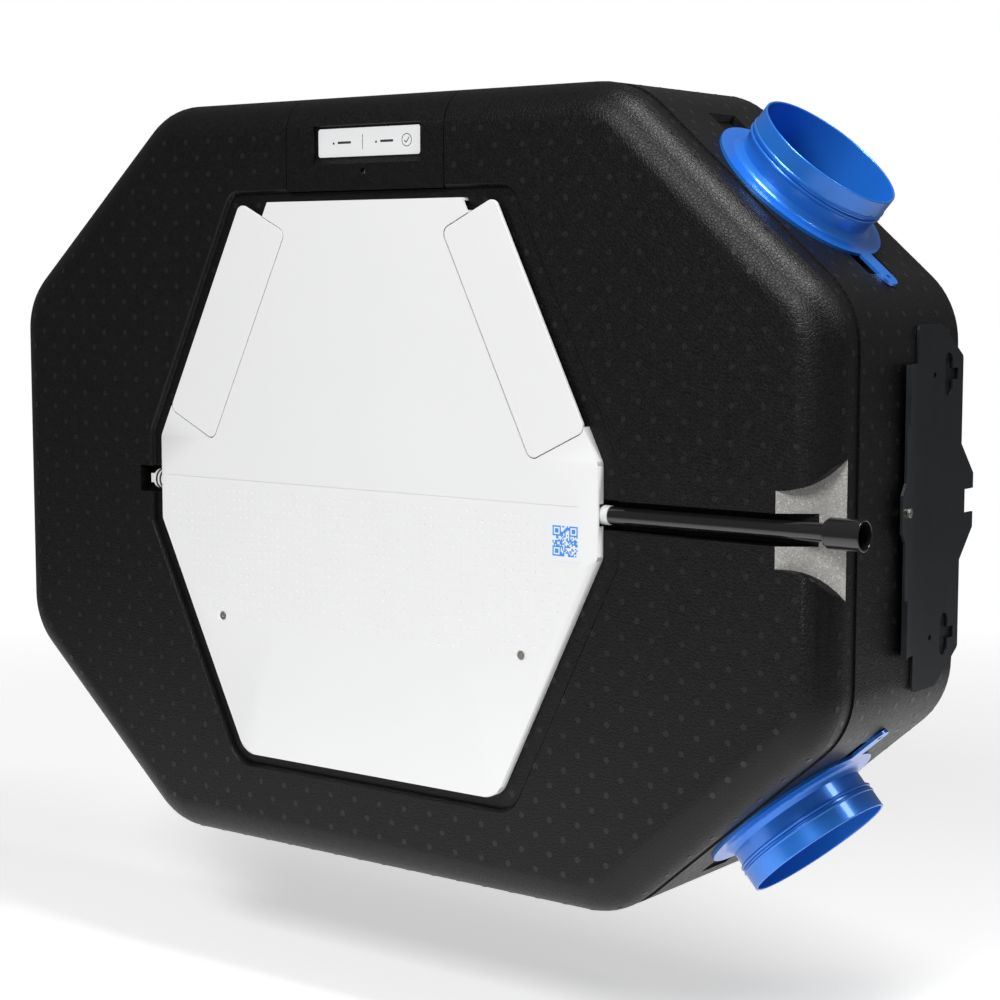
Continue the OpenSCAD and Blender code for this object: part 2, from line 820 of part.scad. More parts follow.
module control_screw() color([0.45, 0.45, 0.46])
    difference() {
        bar_y(0, control_screw_z, 3.2, face_y + 4.5, face_y + 8);
        bar_y(0, control_screw_z, 1.3, face_y + 4, face_y + 6, $fn = 6);
    }

// Drain -------------------------------------------------------------------
module drain_pipe() color([0.06, 0.06, 0.065])
    difference() {
        bar_x(drain_y, drain_z, drain_diameter / 2, collar_end + slip, socket_start + 6);
        bar_x(drain_y, drain_z, drain_diameter / 2 - pipe_wall, collar_end, socket_start + 6 + cut);
    }

module drain_socket() color([0.06, 0.06, 0.065])
    difference() {
        union() {
            bar_x(drain_y, drain_z, socket_diameter / 2, socket_start + 3, socket_start + socket_length);
            bar_x(drain_y, drain_z, socket_diameter / 2 - 2, socket_start, socket_start + 4);
        }
        bar_x(drain_y, drain_z, drain_diameter / 2, socket_start - cut, socket_start + 10);
        bar_x(drain_y, drain_z, socket_bore / 2, socket_start + 8, socket_start + socket_length + cut);
    }

module drain_plug() color([0.93, 0.93, 0.92])
    difference() {
        union() {
            bar_x(drain_y, drain_z, plug_radius, plug_start - 17, plug_start - slip);
            bar_x(drain_y, drain_z, 7.2, plug_start - 1, plug_start + 8);
            block([plug_start - 31, drain_y - 2, drain_z - 5.5], [plug_start - 15, drain_y + 2, drain_z + 5.5]);
        }
        for (x = [plug_start - 6, plug_start - 12])
            difference() {
                bar_x(drain_y, drain_z, plug_radius + cut, x - 1.5, x + 1.5);
                bar_x(drain_y, drain_z, plug_radius - 2, x - 2, x + 2);
            }
    }

module plug_orings() color([0.05, 0.05, 0.05])
    for (x = [plug_start - 6, plug_start - 12])
        translate([x, drain_y, drain_z])
            rotate([0, 90, 0])
                rotate_extrude()
                    translate([plug_radius - 0.5, 0])
                        circle(1.5);

// Duct spigots ------------------------------------------------------------
module duct_spigot(level) color([0.25, 0.52, 0.85])
    at_port(1, level) {
        inner = duct_radius - duct_wall;
        neck = duct_radius - 2;
        bead = duct_length - 23;
        difference() {
            rotate_extrude() {
                // The sleeve, the flange with its cone, the neck, the double bead and the collar
                translate([inner, -sleeve_length])
                    square([duct_radius + 1 - inner, sleeve_length + 1]);
                translate([inner, 0])
                    square([flange_radius - inner, flange_thickness]);
                polygon([[inner, 0], [duct_radius + 6, 0], [duct_radius + 6, flange_thickness],
                    [duct_radius + 2, flange_thickness + 2], [neck, flange_thickness + 8],
                    [neck, duct_length - 8], [inner, duct_length - 8]]);
                for (z = [bead - 3, bead + 3])
                    translate([duct_radius - 1, z])
                        circle(2);
                translate([inner, bead])
                    square([duct_wall, duct_length - bead - duct_wall / 2]);
                translate([duct_radius - duct_wall / 2, duct_length - duct_wall / 2])
                    circle(duct_wall / 2);
            }
            translate([0, 0, -sleeve_length - cut])
                cylinder(r = inner, h = duct_length + sleeve_length + 2 * cut);
        }
        // The pull tab
        difference() {
            union() {
                translate([flange_radius - 8, -11, 0])
                    cube([42, 22, flange_thickness]);
                translate([flange_radius + 34, 0, 0])
                    cylinder(r = 11, h = flange_thickness);
            }
            translate([flange_radius + 34, 0, -cut])
                cylinder(r = 3, h = 10);
        }
    }

module duct_spigot_top_right() duct_spigot(1);
module duct_spigot_bottom_right() duct_spigot(-1);

module port_seals() color([0.08, 0.08, 0.08])
    for (side = [1, -1], level = [1, -1])
        at_port(side, level)
            translate([0, 0, 6 - sleeve_length])
                difference() {
                    cylinder(r = port_radius, h = 22);
                    translate([0, 0, -cut])
                        cylinder(r = duct_radius + 1 + slip, h = 30);
                }

// Hanging brackets --------------------------------------------------------
// A bracket's side view: its first value is the depth Y, its second the height Z
module bracket_side() {
    half = bracket_height / 2;
    tip = -2;
    notch = hook_notch / 2;
    difference() {
        union() {
            rounded([[web_front_y, half], [back_y - 52, half], [back_y, half - 34], [back_y, 34 - half],
                [back_y - 52, -half], [web_front_y, -half]], [6]);
            polygon([[back_y - 10, hook_half], [back_y, hook_half], [tip, notch + 16], [tip, -notch - 16],
                [back_y, -hook_half], [back_y - 10, -hook_half]]);
        }
        translate([tip - 20, -notch])
            square([40, hook_notch]);
        for (z = [-slot_z, slot_z]) {
            translate([slot_y, z])
                rounded([[-9, -22], [-9, 22], [9, 22], [9, -22]], [8]);
            translate([slot_y, z - 6])
                square([22, 12]);
            translate([slot_y - 32, z])
                circle(bracket_hole);
        }
    }
}

// A frame on the front strip, which is folded outwards from the web's front edge
module at_strip()
    translate([web_x, web_front_y, 0])
        rotate([0, 0, strip_fold])
            children();

module wall_bracket(side) color([0.2, 0.23, 0.27])
    placed(side, 1) {
        strip = bracket_height / 2 - 39;
        lug = 31;
        difference() {
            union() {
                translate([web_x, 0, 0])
                    rotate([90, 0, 90])
                        linear_extrude(bracket_steel)
                            bracket_side();
                // The front strip and its lug
                at_strip() {
                    block([0, -strip_width, -strip], [bracket_steel, 1.4, strip]);
                    translate([0, -strip_width, 0])
                        rotate([90, 0, 90])
                            linear_extrude(bracket_steel)
                                polygon([[1, lug], [-12, lug - 12], [-12, 12 - lug], [1, -lug]]);
                    for (level = [1, -1])
                        placed(1, level)
                            block([0, -strip_width, strip - 60], [6, bracket_steel - strip_width, strip]);
                }
            }
            at_strip()
                bar_x(lug_screw_y, 0, 2.6, -5, bracket_steel + 5);
        }
    }

module wall_bracket_left() wall_bracket(-1);
module wall_bracket_right() wall_bracket(1);

module bracket_screws() color([0.6, 0.6, 0.62])
    for (side = [1, -1])
        placed(side, 1)
            at_strip()
                difference() {
                    union() {
                        bar_x(lug_screw_y, 0, 5, bracket_steel, bracket_steel + 3);
                        bar_x(lug_screw_y, 0, 2.4, -4, bracket_steel + 1);
                    }
                    bar_x(lug_screw_y, 0, 2, bracket_steel + 1, bracket_steel + 4, $fn = 6);
                }

front_shell();
rear_shell();
divider_left();
divider_right();
divider_top();
divider_bottom();
controller_housing();
circuit_board();
terminal_blocks();
cable_gland();
port_seals();
exchanger_gaskets();
fan_housing_left();
fan_housing_right();
fan_motor_left();
fan_motor_right();
impeller_left();
impeller_right();
temperature_sensors();
drain_pipe();
drain_socket();
wall_bracket_left();
wall_bracket_right();
bracket_screws();
front_cover();
cover_insulation();
cover_screws();
code_label();
exchanger_core();
exchanger_frame();
exchanger_strap();
drain_manifold();
filter_door_left();
filter_door_right();
door_plug_left();
door_plug_right();
filter_frame_left();
filter_frame_right();
filter_media_left();
filter_media_right();
filter_tab_left();
filter_tab_right();
control_cover();
display_label();
control_screw();
drain_plug();
plug_orings();
duct_spigot_top_right();
duct_spigot_bottom_right();
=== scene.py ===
"""Looks of a wall-hung heat recovery unit: foam body, white cover, blue duct spigots.

Every length is in metres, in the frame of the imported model: X to the right, Y from the front to
the wall, Z up. Sizes come from the boxes of the model's own nodes wherever a node has them.
"""

from __future__ import annotations

import json
import logging
import math
from collections.abc import Iterable, Sequence
from dataclasses import dataclass
from enum import Enum
from functools import cached_property

import bmesh
import bpy
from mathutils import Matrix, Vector

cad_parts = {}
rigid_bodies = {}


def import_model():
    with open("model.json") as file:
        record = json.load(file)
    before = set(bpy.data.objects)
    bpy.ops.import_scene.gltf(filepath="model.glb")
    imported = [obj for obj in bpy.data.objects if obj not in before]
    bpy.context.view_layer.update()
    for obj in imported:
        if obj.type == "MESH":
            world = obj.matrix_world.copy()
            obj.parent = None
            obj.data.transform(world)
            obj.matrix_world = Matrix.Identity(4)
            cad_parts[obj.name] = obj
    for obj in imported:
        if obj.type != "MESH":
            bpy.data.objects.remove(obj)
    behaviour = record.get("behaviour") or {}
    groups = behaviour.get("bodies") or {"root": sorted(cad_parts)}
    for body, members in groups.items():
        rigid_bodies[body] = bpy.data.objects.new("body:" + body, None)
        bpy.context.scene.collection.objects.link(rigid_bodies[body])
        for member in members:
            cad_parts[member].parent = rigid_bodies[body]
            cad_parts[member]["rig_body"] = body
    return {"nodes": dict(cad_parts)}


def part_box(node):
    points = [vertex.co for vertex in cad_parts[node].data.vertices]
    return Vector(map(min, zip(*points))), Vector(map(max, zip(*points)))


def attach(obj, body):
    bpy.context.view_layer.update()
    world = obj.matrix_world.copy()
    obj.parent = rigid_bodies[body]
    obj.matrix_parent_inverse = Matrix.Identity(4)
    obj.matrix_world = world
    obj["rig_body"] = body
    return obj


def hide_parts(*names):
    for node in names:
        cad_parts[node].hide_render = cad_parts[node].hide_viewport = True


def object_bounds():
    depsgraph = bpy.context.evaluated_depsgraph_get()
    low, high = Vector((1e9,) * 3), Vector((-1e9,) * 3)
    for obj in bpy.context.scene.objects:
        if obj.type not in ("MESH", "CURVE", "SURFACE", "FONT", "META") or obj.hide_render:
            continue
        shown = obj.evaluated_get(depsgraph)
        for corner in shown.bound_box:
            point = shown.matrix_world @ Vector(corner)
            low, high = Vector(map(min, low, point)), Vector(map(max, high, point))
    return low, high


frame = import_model()
CAD_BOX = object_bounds()

LOG = logging.getLogger("heat_recovery_unit")
MM = 0.001
WELD = 0.002 * MM
LEVEL = 0.01 * MM
FRONT = Vector((0.0, -1.0, 0.0))

Colour = tuple[float, float, float]
Place = tuple[float, float, float]
Point = tuple[float, float]
Bar = tuple[float, float, float, float]
Outline = Sequence[tuple[Vector, Vector]]
Value = object
Socket = bpy.types.NodeSocket
Piece = bpy.types.Object
Shape = bmesh.types.BMesh
Corners = Sequence[bmesh.types.BMVert]


class Noise(Enum):
    """Kinds of cell pattern."""

    NEAREST = "F1"
    EDGES = "DISTANCE_TO_EDGE"


class Edge(Enum):
    """How an edge of a copied node is finished: the width of its rounding."""

    CRISP = 0.0
    FINE = 0.25 * MM
    SOFT = 0.6 * MM


# Node sheets ---------------------------------------------------------------
class Term:
    """A number that a node gives, with the arithmetic that the finishes and patterns use."""

    def __init__(self, sheet: Sheet, socket: Socket) -> None:
        """Wraps a socket of a sheet, which new Math nodes are added to."""
        self.sheet = sheet
        self.socket = socket

    def apply(self, operation: str, *others: Value) -> Term:
        """Adds a Math node that has this number as its first value."""
        return self.sheet.maths(operation, self, *others)

    def __add__(self, other: Value) -> Term:
        """Adds a value."""
        return self.apply("ADD", other)

    def __sub__(self, other: Value) -> Term:
        """Takes a value away."""
        return self.apply("SUBTRACT", other)

    def __mul__(self, other: Value) -> Term:
        """Multiplies by a value."""
        return self.apply("MULTIPLY", other)

    def __truediv__(self, other: Value) -> Term:
        """Divides by a value."""
        return self.apply("DIVIDE", other)

    def __rsub__(self, other: Value) -> Term:
        """Is taken away from a value."""
        return self.sheet.maths("SUBTRACT", other, self)

    def __gt__(self, other: Value) -> Term:
        """Is 1 where this is greater."""
        return self.apply("GREATER_THAN", other)

    def __lt__(self, other: Value) -> Term:
        """Is 1 where this is less."""
        return self.apply("LESS_THAN", other)

    def __mod__(self, other: Value) -> Term:
        """Gives the remainder, which is never negative."""
        return self.apply("FLOORED_MODULO", other)

    def __abs__(self) -> Term:
        """Drops the sign."""
        return self.apply("ABSOLUTE")

    __radd__ = __add__
    __rmul__ = __mul__


class Sheet:
    """A node tree, with one method that adds any node."""

    def __init__(self, tree: bpy.types.NodeTree) -> None:
        """Wraps a tree."""
        self.tree = tree

    def add(
        self,
        kind: str,
        settings: dict[str, Value] | None = None,
        values: dict[str | int, Value] | None = None,
    ) -> bpy.types.Node:
        """Adds a node.

        Args:
            kind: The node's type.
            settings: Its own settings, set before its sockets; stops is the list of a ramp's
                positions and colours.
            values: A value, a socket or a term for each input, by its name or index.

        Returns:
            The node.
        """
        node = self.tree.nodes.new(kind)
        for name, value in (settings or {}).items():
            if name == "stops":
                ramp = node.color_ramp
                while len(ramp.elements) < len(value):
                    ramp.elements.new(1.0)
                for element, (position, colour) in zip(ramp.elements, value):
                    element.position = position
                    element.color = (*colour, 1.0)
            else:
                setattr(node, name, value)
        for name, value in (values or {}).items():
            socket = node.inputs[name]
            if isinstance(value, Term):
                value = value.socket
            if isinstance(value, Socket):
                self.tree.links.new(value, socket)
            elif isinstance(value, tuple) and len(value) == 3 and socket.type == "RGBA":
                socket.default_value = (*value, 1.0)
            else:
                socket.default_value = value
        return node

    def maths(self, operation: str, *values: Value) -> Term:
        """Adds a Math node with its values in order."""
        node = self.add("ShaderNodeMath", {"operation": operation}, dict(enumerate(values)))
        return Term(self, node.outputs[0])

    def vector(self, operation: str, *values: Value) -> Socket:
        """Adds a Vector Math node.

        Args:
            operation: The node's operation.
            values: Its values, in order.

        Returns:
            The result, a number for a length or a dot product and otherwise a vector.
        """
        settings = {"operation": operation}
        node = self.add("ShaderNodeVectorMath", settings, dict(enumerate(values)))
        return node.outputs["Value" if operation in ("DOT_PRODUCT", "LENGTH") else "Vector"]

    def parts(self, vector: Value) -> tuple[Term, Term, Term]:
        """Splits a vector into its three numbers."""
        node = self.add("ShaderNodeSeparateXYZ", values={0: vector})
        return tuple(Term(self, socket) for socket in node.outputs)


class Paint(Sheet):
    """A material's node tree, with the patterns that the finishes share."""

    def __init__(self, material: bpy.types.Material) -> None:
        """Clears a material and puts one Principled shader in it.

        Args:
            material: The material to paint.
        """
        material.use_nodes = True
        super().__init__(material.node_tree)
        self.tree.nodes.clear()
        self.place = self.add("ShaderNodeTexCoord").outputs["Object"]
        self.shader = self.add("ShaderNodeBsdfPrincipled")
        self.add("ShaderNodeOutputMaterial", values={"Surface": self.shader.outputs[0]})

    def stretched(self, scale: Colour) -> Socket:
        """Gives the place, scaled by its own factor along each axis."""
        node = self.add("ShaderNodeMapping", values={"Vector": self.place, "Scale": scale})
        return node.outputs[0]

    def noise(self, scale: float, detail: float = 2.0, place: Value = None) -> Term:
        """Gives soft noise from 0 to 1, with scale bumps to the metre and some finer layers."""
        values = {"Vector": place or self.place, "Scale": scale, "Detail": detail}
        return Term(self, self.add("ShaderNodeTexNoise", values=values).outputs[0])

    def cells(self, scale: float, kind: Noise = Noise.NEAREST) -> tuple[Term, Term]:
        """Gives a pattern of cells.

        Args:
            scale: Its cells to the metre.
            kind: What its distance is measured to.

        Returns:
            The distance, and a number that each cell has for itself.
        """
        node = self.add(
            "ShaderNodeTexVoronoi", {"feature": kind.value}, {"Vector": self.place, "Scale": scale}
        )
        own = node.outputs["Color"] if kind is Noise.NEAREST else node.outputs["Distance"]
        return Term(self, node.outputs["Distance"]), self.parts(own)[0]

    def mixed(self, factor: Value, low: Value, high: Value) -> Socket:
        """Mixes two colours: the first where the factor is 0, the second where it is 1."""
        settings = {"data_type": "RGBA", "clamp_factor": True}
        return self.add("ShaderNodeMix", settings, {0: factor, 6: low, 7: high}).outputs[2]

    def bumped(self, height: Term, strength: float, distance: float) -> Socket:
        """Turns a height from 0 to 1 into a normal, with the distance that 1 stands for."""
        values = {"Height": height, "Strength": strength, "Distance": distance}
        return self.add("ShaderNodeBump", values=values).outputs[0]

    def shade(self, **values: Value) -> None:
        """Sets the shader's sockets, with _ for a space in a name."""
        for name, value in values.items():
            socket = self.shader.inputs[name.replace("_", " ")]
            if isinstance(value, Term):
                value = value.socket
            if isinstance(value, Socket):
                self.tree.links.new(value, socket)
            elif isinstance(value, tuple):
                socket.default_value = (*value, 1.0)
            else:
                socket.default_value = value


def scaled(colour: Colour, factor: float) -> Colour:
    """Makes a colour lighter or darker, up to white."""
    return tuple(min(1.0, part * factor) for part in colour)


# Finishes ------------------------------------------------------------------
@dataclass(frozen=True)
class Finish:
    """A finish: a smooth moulded plastic unless a kind of it says otherwise."""

    name: str
    colour: Colour
    roughness: float = 0.4
    metallic: float = 0.0
    grain: float = 1500.0
    depth: float = 0.03
    variation: float = 0.03
    coat: float = 0.0
    shared_slot: str = ""

    @property
    def slot(self) -> str:
        """The material slot: another finish's, or one with the finish's own name."""
        return self.shared_slot or self.name

    def material(self) -> bpy.types.Material:
        """Gives the finish's material, which is made once."""
        name = f"{self.name}_finish"
        found = bpy.data.materials.get(name)
        if found is None:
            found = bpy.data.materials.new(name)
            self.paint(Paint(found))
        return found

    def paint(self, paint: Paint) -> None:
        """Paints an even moulded surface with a fine grain and a slight drift in tone."""
        drift = paint.noise(9.0, 3.0)
        grain = paint.noise(self.grain, 1.0)
        low = scaled(self.colour, 1 - self.variation)
        high = scaled(self.colour, 1 + self.variation)
        paint.shade(
            Base_Color=paint.mixed(drift, low, high),
            Roughness=(grain - 0.5) * 0.08 + (drift - 0.5) * 0.06 + self.roughness,
            Metallic=self.metallic,
            Coat_Weight=self.coat,
            Normal=paint.bumped(grain, self.depth, 0.2 * MM),
        )


@dataclass(frozen=True)
class FoamFinish(Finish):
    """Moulded expanded foam: pressed beads with a fine mould grain over them."""

    bead: float = 250.0
    # How strongly the painted glints lighten the grain's peaks.
    painted_glint_strength: float = 0.5
    shine: float = 0.25

    def paint(self, paint: Paint) -> None:
        """Paints beads, the dark joints between them and the grain of the mould, and painted
        glints: the grain's peaks are lightened in colour to stand in for highlights.
        """
        joint = paint.cells(self.bead, Noise.EDGES)[0]
        own = paint.cells(self.bead)[1]
        grain = paint.noise(620.0, 2.0)
        fine = paint.noise(1500.0, 1.0)
        drift = paint.noise(14.0, 3.0)
        # Painted glints: where the grain peaks, the base colour is mixed towards a colour 3.2 times
        # lighter, standing in for the lamps' highlights on the grain.
        glint_mask = (grain - 0.56) * 6.0
        tone = own * 0.3 + drift * 0.35 + fine * 0.35
        base = paint.mixed(tone, scaled(self.colour, 0.65), scaled(self.colour, 1.35))
        painted_glints = paint.mixed(glint_mask * self.painted_glint_strength, base, scaled(self.colour, 3.2))
        height = grain * 0.6 + fine * 0.25 + (joint * 6.0).apply("MINIMUM", 1.0) * 0.5
        paint.shade(
            Base_Color=painted_glints,
            Roughness=(grain - 0.5) * 0.35 + (own - 0.5) * 0.06 + self.roughness,
            Specular_IOR_Level=self.shine,
            Normal=paint.bumped(height, 0.5 * self.depth, 0.6 * MM),
        )


@dataclass(frozen=True)
class SteelFinish(Finish):
    """Sheet steel with a dull mottled coat and faint rubbing marks."""

    def paint(self, paint: Paint) -> None:
        """Paints large soft crystals, fine rolling lines and a few rubbed streaks."""
        crystal = paint.cells(70.0)[1]
        lines = paint.noise(60.0, 4.0, paint.stretched((14.0, 14.0, 1.0)))
        drift = paint.noise(24.0, 4.0)
        rubbed = (paint.noise(45.0, 5.0, paint.stretched((1.0, 1.0, 6.0))) - 0.64) * 5.0
        tone = crystal * 0.35 + lines * 0.3 + drift * 0.35
        base = paint.mixed(tone, scaled(self.colour, 0.78), scaled(self.colour, 1.3))
        paint.shade(
            Base_Color=paint.mixed(rubbed * 0.35, base, scaled(self.colour, 2.6)),
            Roughness=(drift - 0.5) * 0.22 + (lines - 0.5) * 0.12 + self.roughness,
            Metallic=self.metallic,
            Normal=paint.bumped(lines * 0.5 + crystal * 0.2, 0.12, 0.2 * MM),
        )


@dataclass(frozen=True)
class ClothFinish(Finish):
    """Woven or felted fibre."""

    thread: float = 900.0

    def paint(self, paint: Paint) -> None:
        """Paints crossing threads with a little fluff."""
        along, across, up = paint.parts(paint.place)
        fluff = paint.noise(420.0, 4.0)
        turn = self.thread * math.tau
        weave = (along + across).apply("MULTIPLY", turn).apply("SINE")
        weft = (up * turn).apply("SINE")
        height = (weave * weft) * 0.5 + fluff * 0.8
        paint.shade(
            Base_Color=paint.mixed(fluff, scaled(self.colour, 0.72), scaled(self.colour, 1.18)),
            Roughness=(fluff - 0.5) * 0.1 + self.roughness,
            Normal=paint.bumped(height, 0.4, 0.3 * MM),
        )


@dataclass(frozen=True)
class BoardFinish(Finish):
    """A coated circuit board with its copper tracks under the coat."""

    def paint(self, paint: Paint) -> None:
        """Paints square-cornered tracks that follow the borders of a coarse block pattern."""
        blocks = paint.noise(150.0, 0.0, paint.stretched((1.0, 0.0, 0.4)))
        rows = paint.noise(150.0, 0.0, paint.stretched((0.4, 0.0, 1.0)))
        track = abs((blocks + rows) * 9.0 % 1.0 - 0.5) < 0.16
        paint.shade(
            Base_Color=paint.mixed(track, self.colour, scaled(self.colour, 2.1)),
            Roughness=track * 0.08 + self.roughness,
            Coat_Weight=0.3,
            Normal=paint.bumped(track, 0.3, 0.1 * MM),
        )


FOAM = FoamFinish("foam_black", (0.0042, 0.004, 0.004), roughness=0.4, depth=1.0)
FOAM_SPOT = FoamFinish(
    "foam_vent_mark", (0.0095, 0.0092, 0.0092), 0.36, shine=0.4, shared_slot="foam_black"
)
# A light grey copy of the foam for the slanted floor of the pipe's pocket: its beads are the cut
# foam's, its lightness is painted light, standing in for the lamps' light on that floor.
FOAM_LIT_FLOOR = FoamFinish(
    "foam_painted_lit_floor", (0.38, 0.37, 0.35), 0.62, depth=1.0, bead=420.0, shared_slot="foam_black"
)
FOAM_INNER = FoamFinish("foam_inner", (0.02, 0.02, 0.0205), roughness=0.55, depth=0.7)
WHITE = Finish("cover_white", (0.84, 0.842, 0.845), roughness=0.36, variation=0.012)
FOIL = Finish("label_foil", (0.83, 0.84, 0.845), roughness=0.45, variation=0.02)
INK = Finish("label_ink", (0.035, 0.035, 0.04), 0.5, variation=0.1, shared_slot="label_foil")
CODE_WHITE = Finish("code_paper", (0.82, 0.86, 0.9), variation=0.01, shared_slot="code_blue")
CODE_BLUE = Finish("code_ink", (0.06, 0.27, 0.74), variation=0.12, shared_slot="code_blue")
BLUE = Finish("duct_blue", (0.02, 0.2, 0.76), 0.3, metallic=0.4, grain=700.0, coat=0.5)
PIPE = Finish("pipe_black", (0.011, 0.011, 0.012), roughness=0.16, coat=0.4)
PLUG = Finish("plug_white", (0.8, 0.8, 0.775), roughness=0.35, variation=0.02)
RUBBER = Finish("seal_rubber", (0.015, 0.015, 0.016), roughness=0.6, grain=800.0)
STEEL = SteelFinish("bracket_steel", (0.011, 0.014, 0.018), 0.4, 0.4)
SCREW = SteelFinish("screw_steel", (0.36, 0.34, 0.31), 0.34, 0.9)
GREY = Finish("housing_grey", (0.045, 0.05, 0.056), roughness=0.5, depth=0.15)
BOARD = BoardFinish("board_green", (0.012, 0.1, 0.045), roughness=0.32)
TERMINAL = Finish("terminal_green", (0.02, 0.24, 0.08), roughness=0.36)
PLATE = Finish("plate_plastic", (0.6, 0.65, 0.69), roughness=0.28, coat=0.3)
RAIL = Finish("frame_plastic", (0.72, 0.73, 0.74), roughness=0.38)
STRAP = ClothFinish("strap_black", (0.018, 0.018, 0.019), roughness=0.75)
FLEECE = ClothFinish("filter_fleece", (0.62, 0.69, 0.74), 0.85, thread=500.0)
CARD = Finish("filter_card", (0.7, 0.72, 0.74), roughness=0.55, depth=0.2)
TAB = ClothFinish("tab_blue", (0.04, 0.17, 0.5), roughness=0.7, thread=700.0)
MOTOR = SteelFinish("motor_metal", (0.36, 0.37, 0.38), 0.36, 1.0)
IMPELLER = Finish("impeller_plastic", (0.6, 0.61, 0.62), roughness=0.42)


# Meshes --------------------------------------------------------------------
def baked(piece: Piece, name: str) -> Piece:
    """Turns a piece with live modifiers into a plain mesh.

    Args:
        piece: The piece, which is removed.
        name: The plain piece's name.

    Returns:
        The plain piece.
    """
    graph = bpy.context.evaluated_depsgraph_get()
    mesh = bpy.data.meshes.new_from_object(piece.evaluated_get(graph))
    bpy.data.objects.remove(piece)
    return placed(name, mesh)


def placed(name: str, mesh: bpy.types.Mesh) -> Piece:
    """Puts a mesh into the scene as an object at the origin."""
    piece = bpy.data.objects.new(name, mesh)
    bpy.context.scene.collection.objects.link(piece)
    return piece


def merged(node: str) -> Shape:
    """Copies a node's mesh, with its corners merged and its flat faces whole.

    Args:
        node: The node's name.

    Returns:
        The copy.
    """
    mesh = bmesh.new()
    mesh.from_mesh(frame["nodes"][node].data)
    bmesh.ops.remove_doubles(mesh, verts=mesh.verts, dist=WELD)
    bmesh.ops.dissolve_limit(
        mesh, angle_limit=math.radians(0.3), verts=mesh.verts, edges=mesh.edges
    )
    return mesh


def mesh_of(name: str, shape: Shape) -> bpy.types.Mesh:
    """Writes a shape into a new mesh and frees it."""
    mesh = bpy.data.meshes.new(name)
    shape.to_mesh(mesh)
    shape.free()
    return mesh


def smoothed(piece: Piece, edge: Edge = Edge.CRISP, angle: float = 32.0) -> None:
    """Shades a piece smoothly between its sharp edges, and rounds those edges.

    Args:
        piece: The piece.
        edge: How its edges are finished.
        angle: The angle in degrees above which an edge is sharp.
    """
    piece.data.shade_smooth()
    piece.data.set_sharp_from_angle(angle=math.radians(angle))
    if edge is not Edge.CRISP:
        bevel = piece.modifiers.new("edges", "BEVEL")
        bevel.limit_method = "ANGLE"
        bevel.angle_limit = math.radians(angle)
        bevel.width = edge.value
        bevel.segments = 2
        bevel.use_clamp_overlap = True
    weights = piece.modifiers.new("weights", "WEIGHTED_NORMAL")
    weights.keep_sharp = True


class Tree(Sheet):
    """A Geometry Nodes tree for a repeated shape, with named inputs."""

    def __init__(self, name: str) -> None:
        """Starts a tree with a geometry at each end."""
        super().__init__(bpy.data.node_groups.new(name, "GeometryNodeTree"))
        self.names: dict[str, Value] = {}
        for end in ("INPUT", "OUTPUT"):
            self.tree.interface.new_socket("Geometry", in_out=end, socket_type="NodeSocketGeometry")
        self.start = self.add("NodeGroupInput")

    def inlet(self, name: str, value: Value) -> Socket:
        """Adds a named input.

        Args:
            name: The input's name.
            value: Its value on the piece: a number, a vector or a material.

        Returns:
            The socket that gives it inside the tree.
        """
        kinds = {bool: "Bool", int: "Int", float: "Float", bpy.types.Material: "Material"}
        kind = kinds.get(type(value), "Vector")
        self.tree.interface.new_socket(name, in_out="INPUT", socket_type=f"NodeSocket{kind}")
        self.names[name] = value
        return self.start.outputs[name]

    def number(self, name: str, value: float) -> Term:
        """Adds a named number."""
        return Term(self, self.inlet(name, value))

    def beyond(self, start: Socket, way: Socket, steps: Value) -> Socket:
        """Gives the place that is some steps along a way from a start."""
        step = self.add("ShaderNodeVectorMath", {"operation": "SCALE"}, {0: way, "Scale": steps})
        return self.vector("ADD", start, step.outputs[0])

    def here(self) -> Socket:
        """Reads the place of each point."""
        return self.add("GeometryNodeInputPosition").outputs[0]

    def grid(self, size: tuple[Value, Value], corners: tuple[Value, Value]) -> Socket:
        """Makes a flat grid of points."""
        values = {"Size X": size[0], "Size Y": size[1]}
        values |= {"Vertices X": corners[0], "Vertices Y": corners[1]}
        return self.add("GeometryNodeMeshGrid", values=values).outputs["Mesh"]

    def named(self, name: str) -> Socket:
        """Reads a vector that was stored on the points."""
        settings = {"data_type": "FLOAT_VECTOR"}
        return self.add("GeometryNodeInputNamedAttribute", settings, {"Name": name}).outputs[0]

    def moved(self, points: Value, place: Value) -> Socket:
        """Moves each point to a place of its own."""
        values = {0: points, "Position": place}
        return self.add("GeometryNodeSetPosition", values=values).outputs[0]

    def kept(self, points: Value, chosen: Term) -> Socket:
        """Keeps the points that are chosen."""
        values = {"Geometry": points, "Selection": chosen}
        return self.add("GeometryNodeSeparateGeometry", {"domain": "POINT"}, values).outputs[0]

    def spread(self, points: Value, shape: Value, **values: Value) -> Socket:
        """Puts a shape on every point."""
        values = {"Points": points, "Instance": shape, **values}
        return self.add("GeometryNodeInstanceOnPoints", values=values).outputs[0]

    def grow(self, base: Piece, geometry: Value, finish: Finish, name: str) -> Piece:
        """Ends the tree and makes its shape.

        Args:
            base: The object that the tree works on, which is removed.
            geometry: The geometry before its instances are made real.
            finish: The shape's finish.
            name: The new piece's name.

        Returns:
            The piece, a plain mesh.
        """
        material = self.inlet("Finish", finish.material())
        real = self.add("GeometryNodeRealizeInstances", values={0: geometry})
        dressed = self.add(
            "GeometryNodeSetMaterial", values={"Geometry": real.outputs[0], "Material": material}
        )
        self.add("NodeGroupOutput", values={0: dressed.outputs[0]})
        modifier = base.modifiers.new("pattern", "NODES")
        modifier.node_group = self.tree
        for item in self.tree.interface.items_tree:
            if item.in_out == "INPUT" and item.name in self.names:
                modifier[item.identifier] = self.names[item.name]
        return baked(base, name)


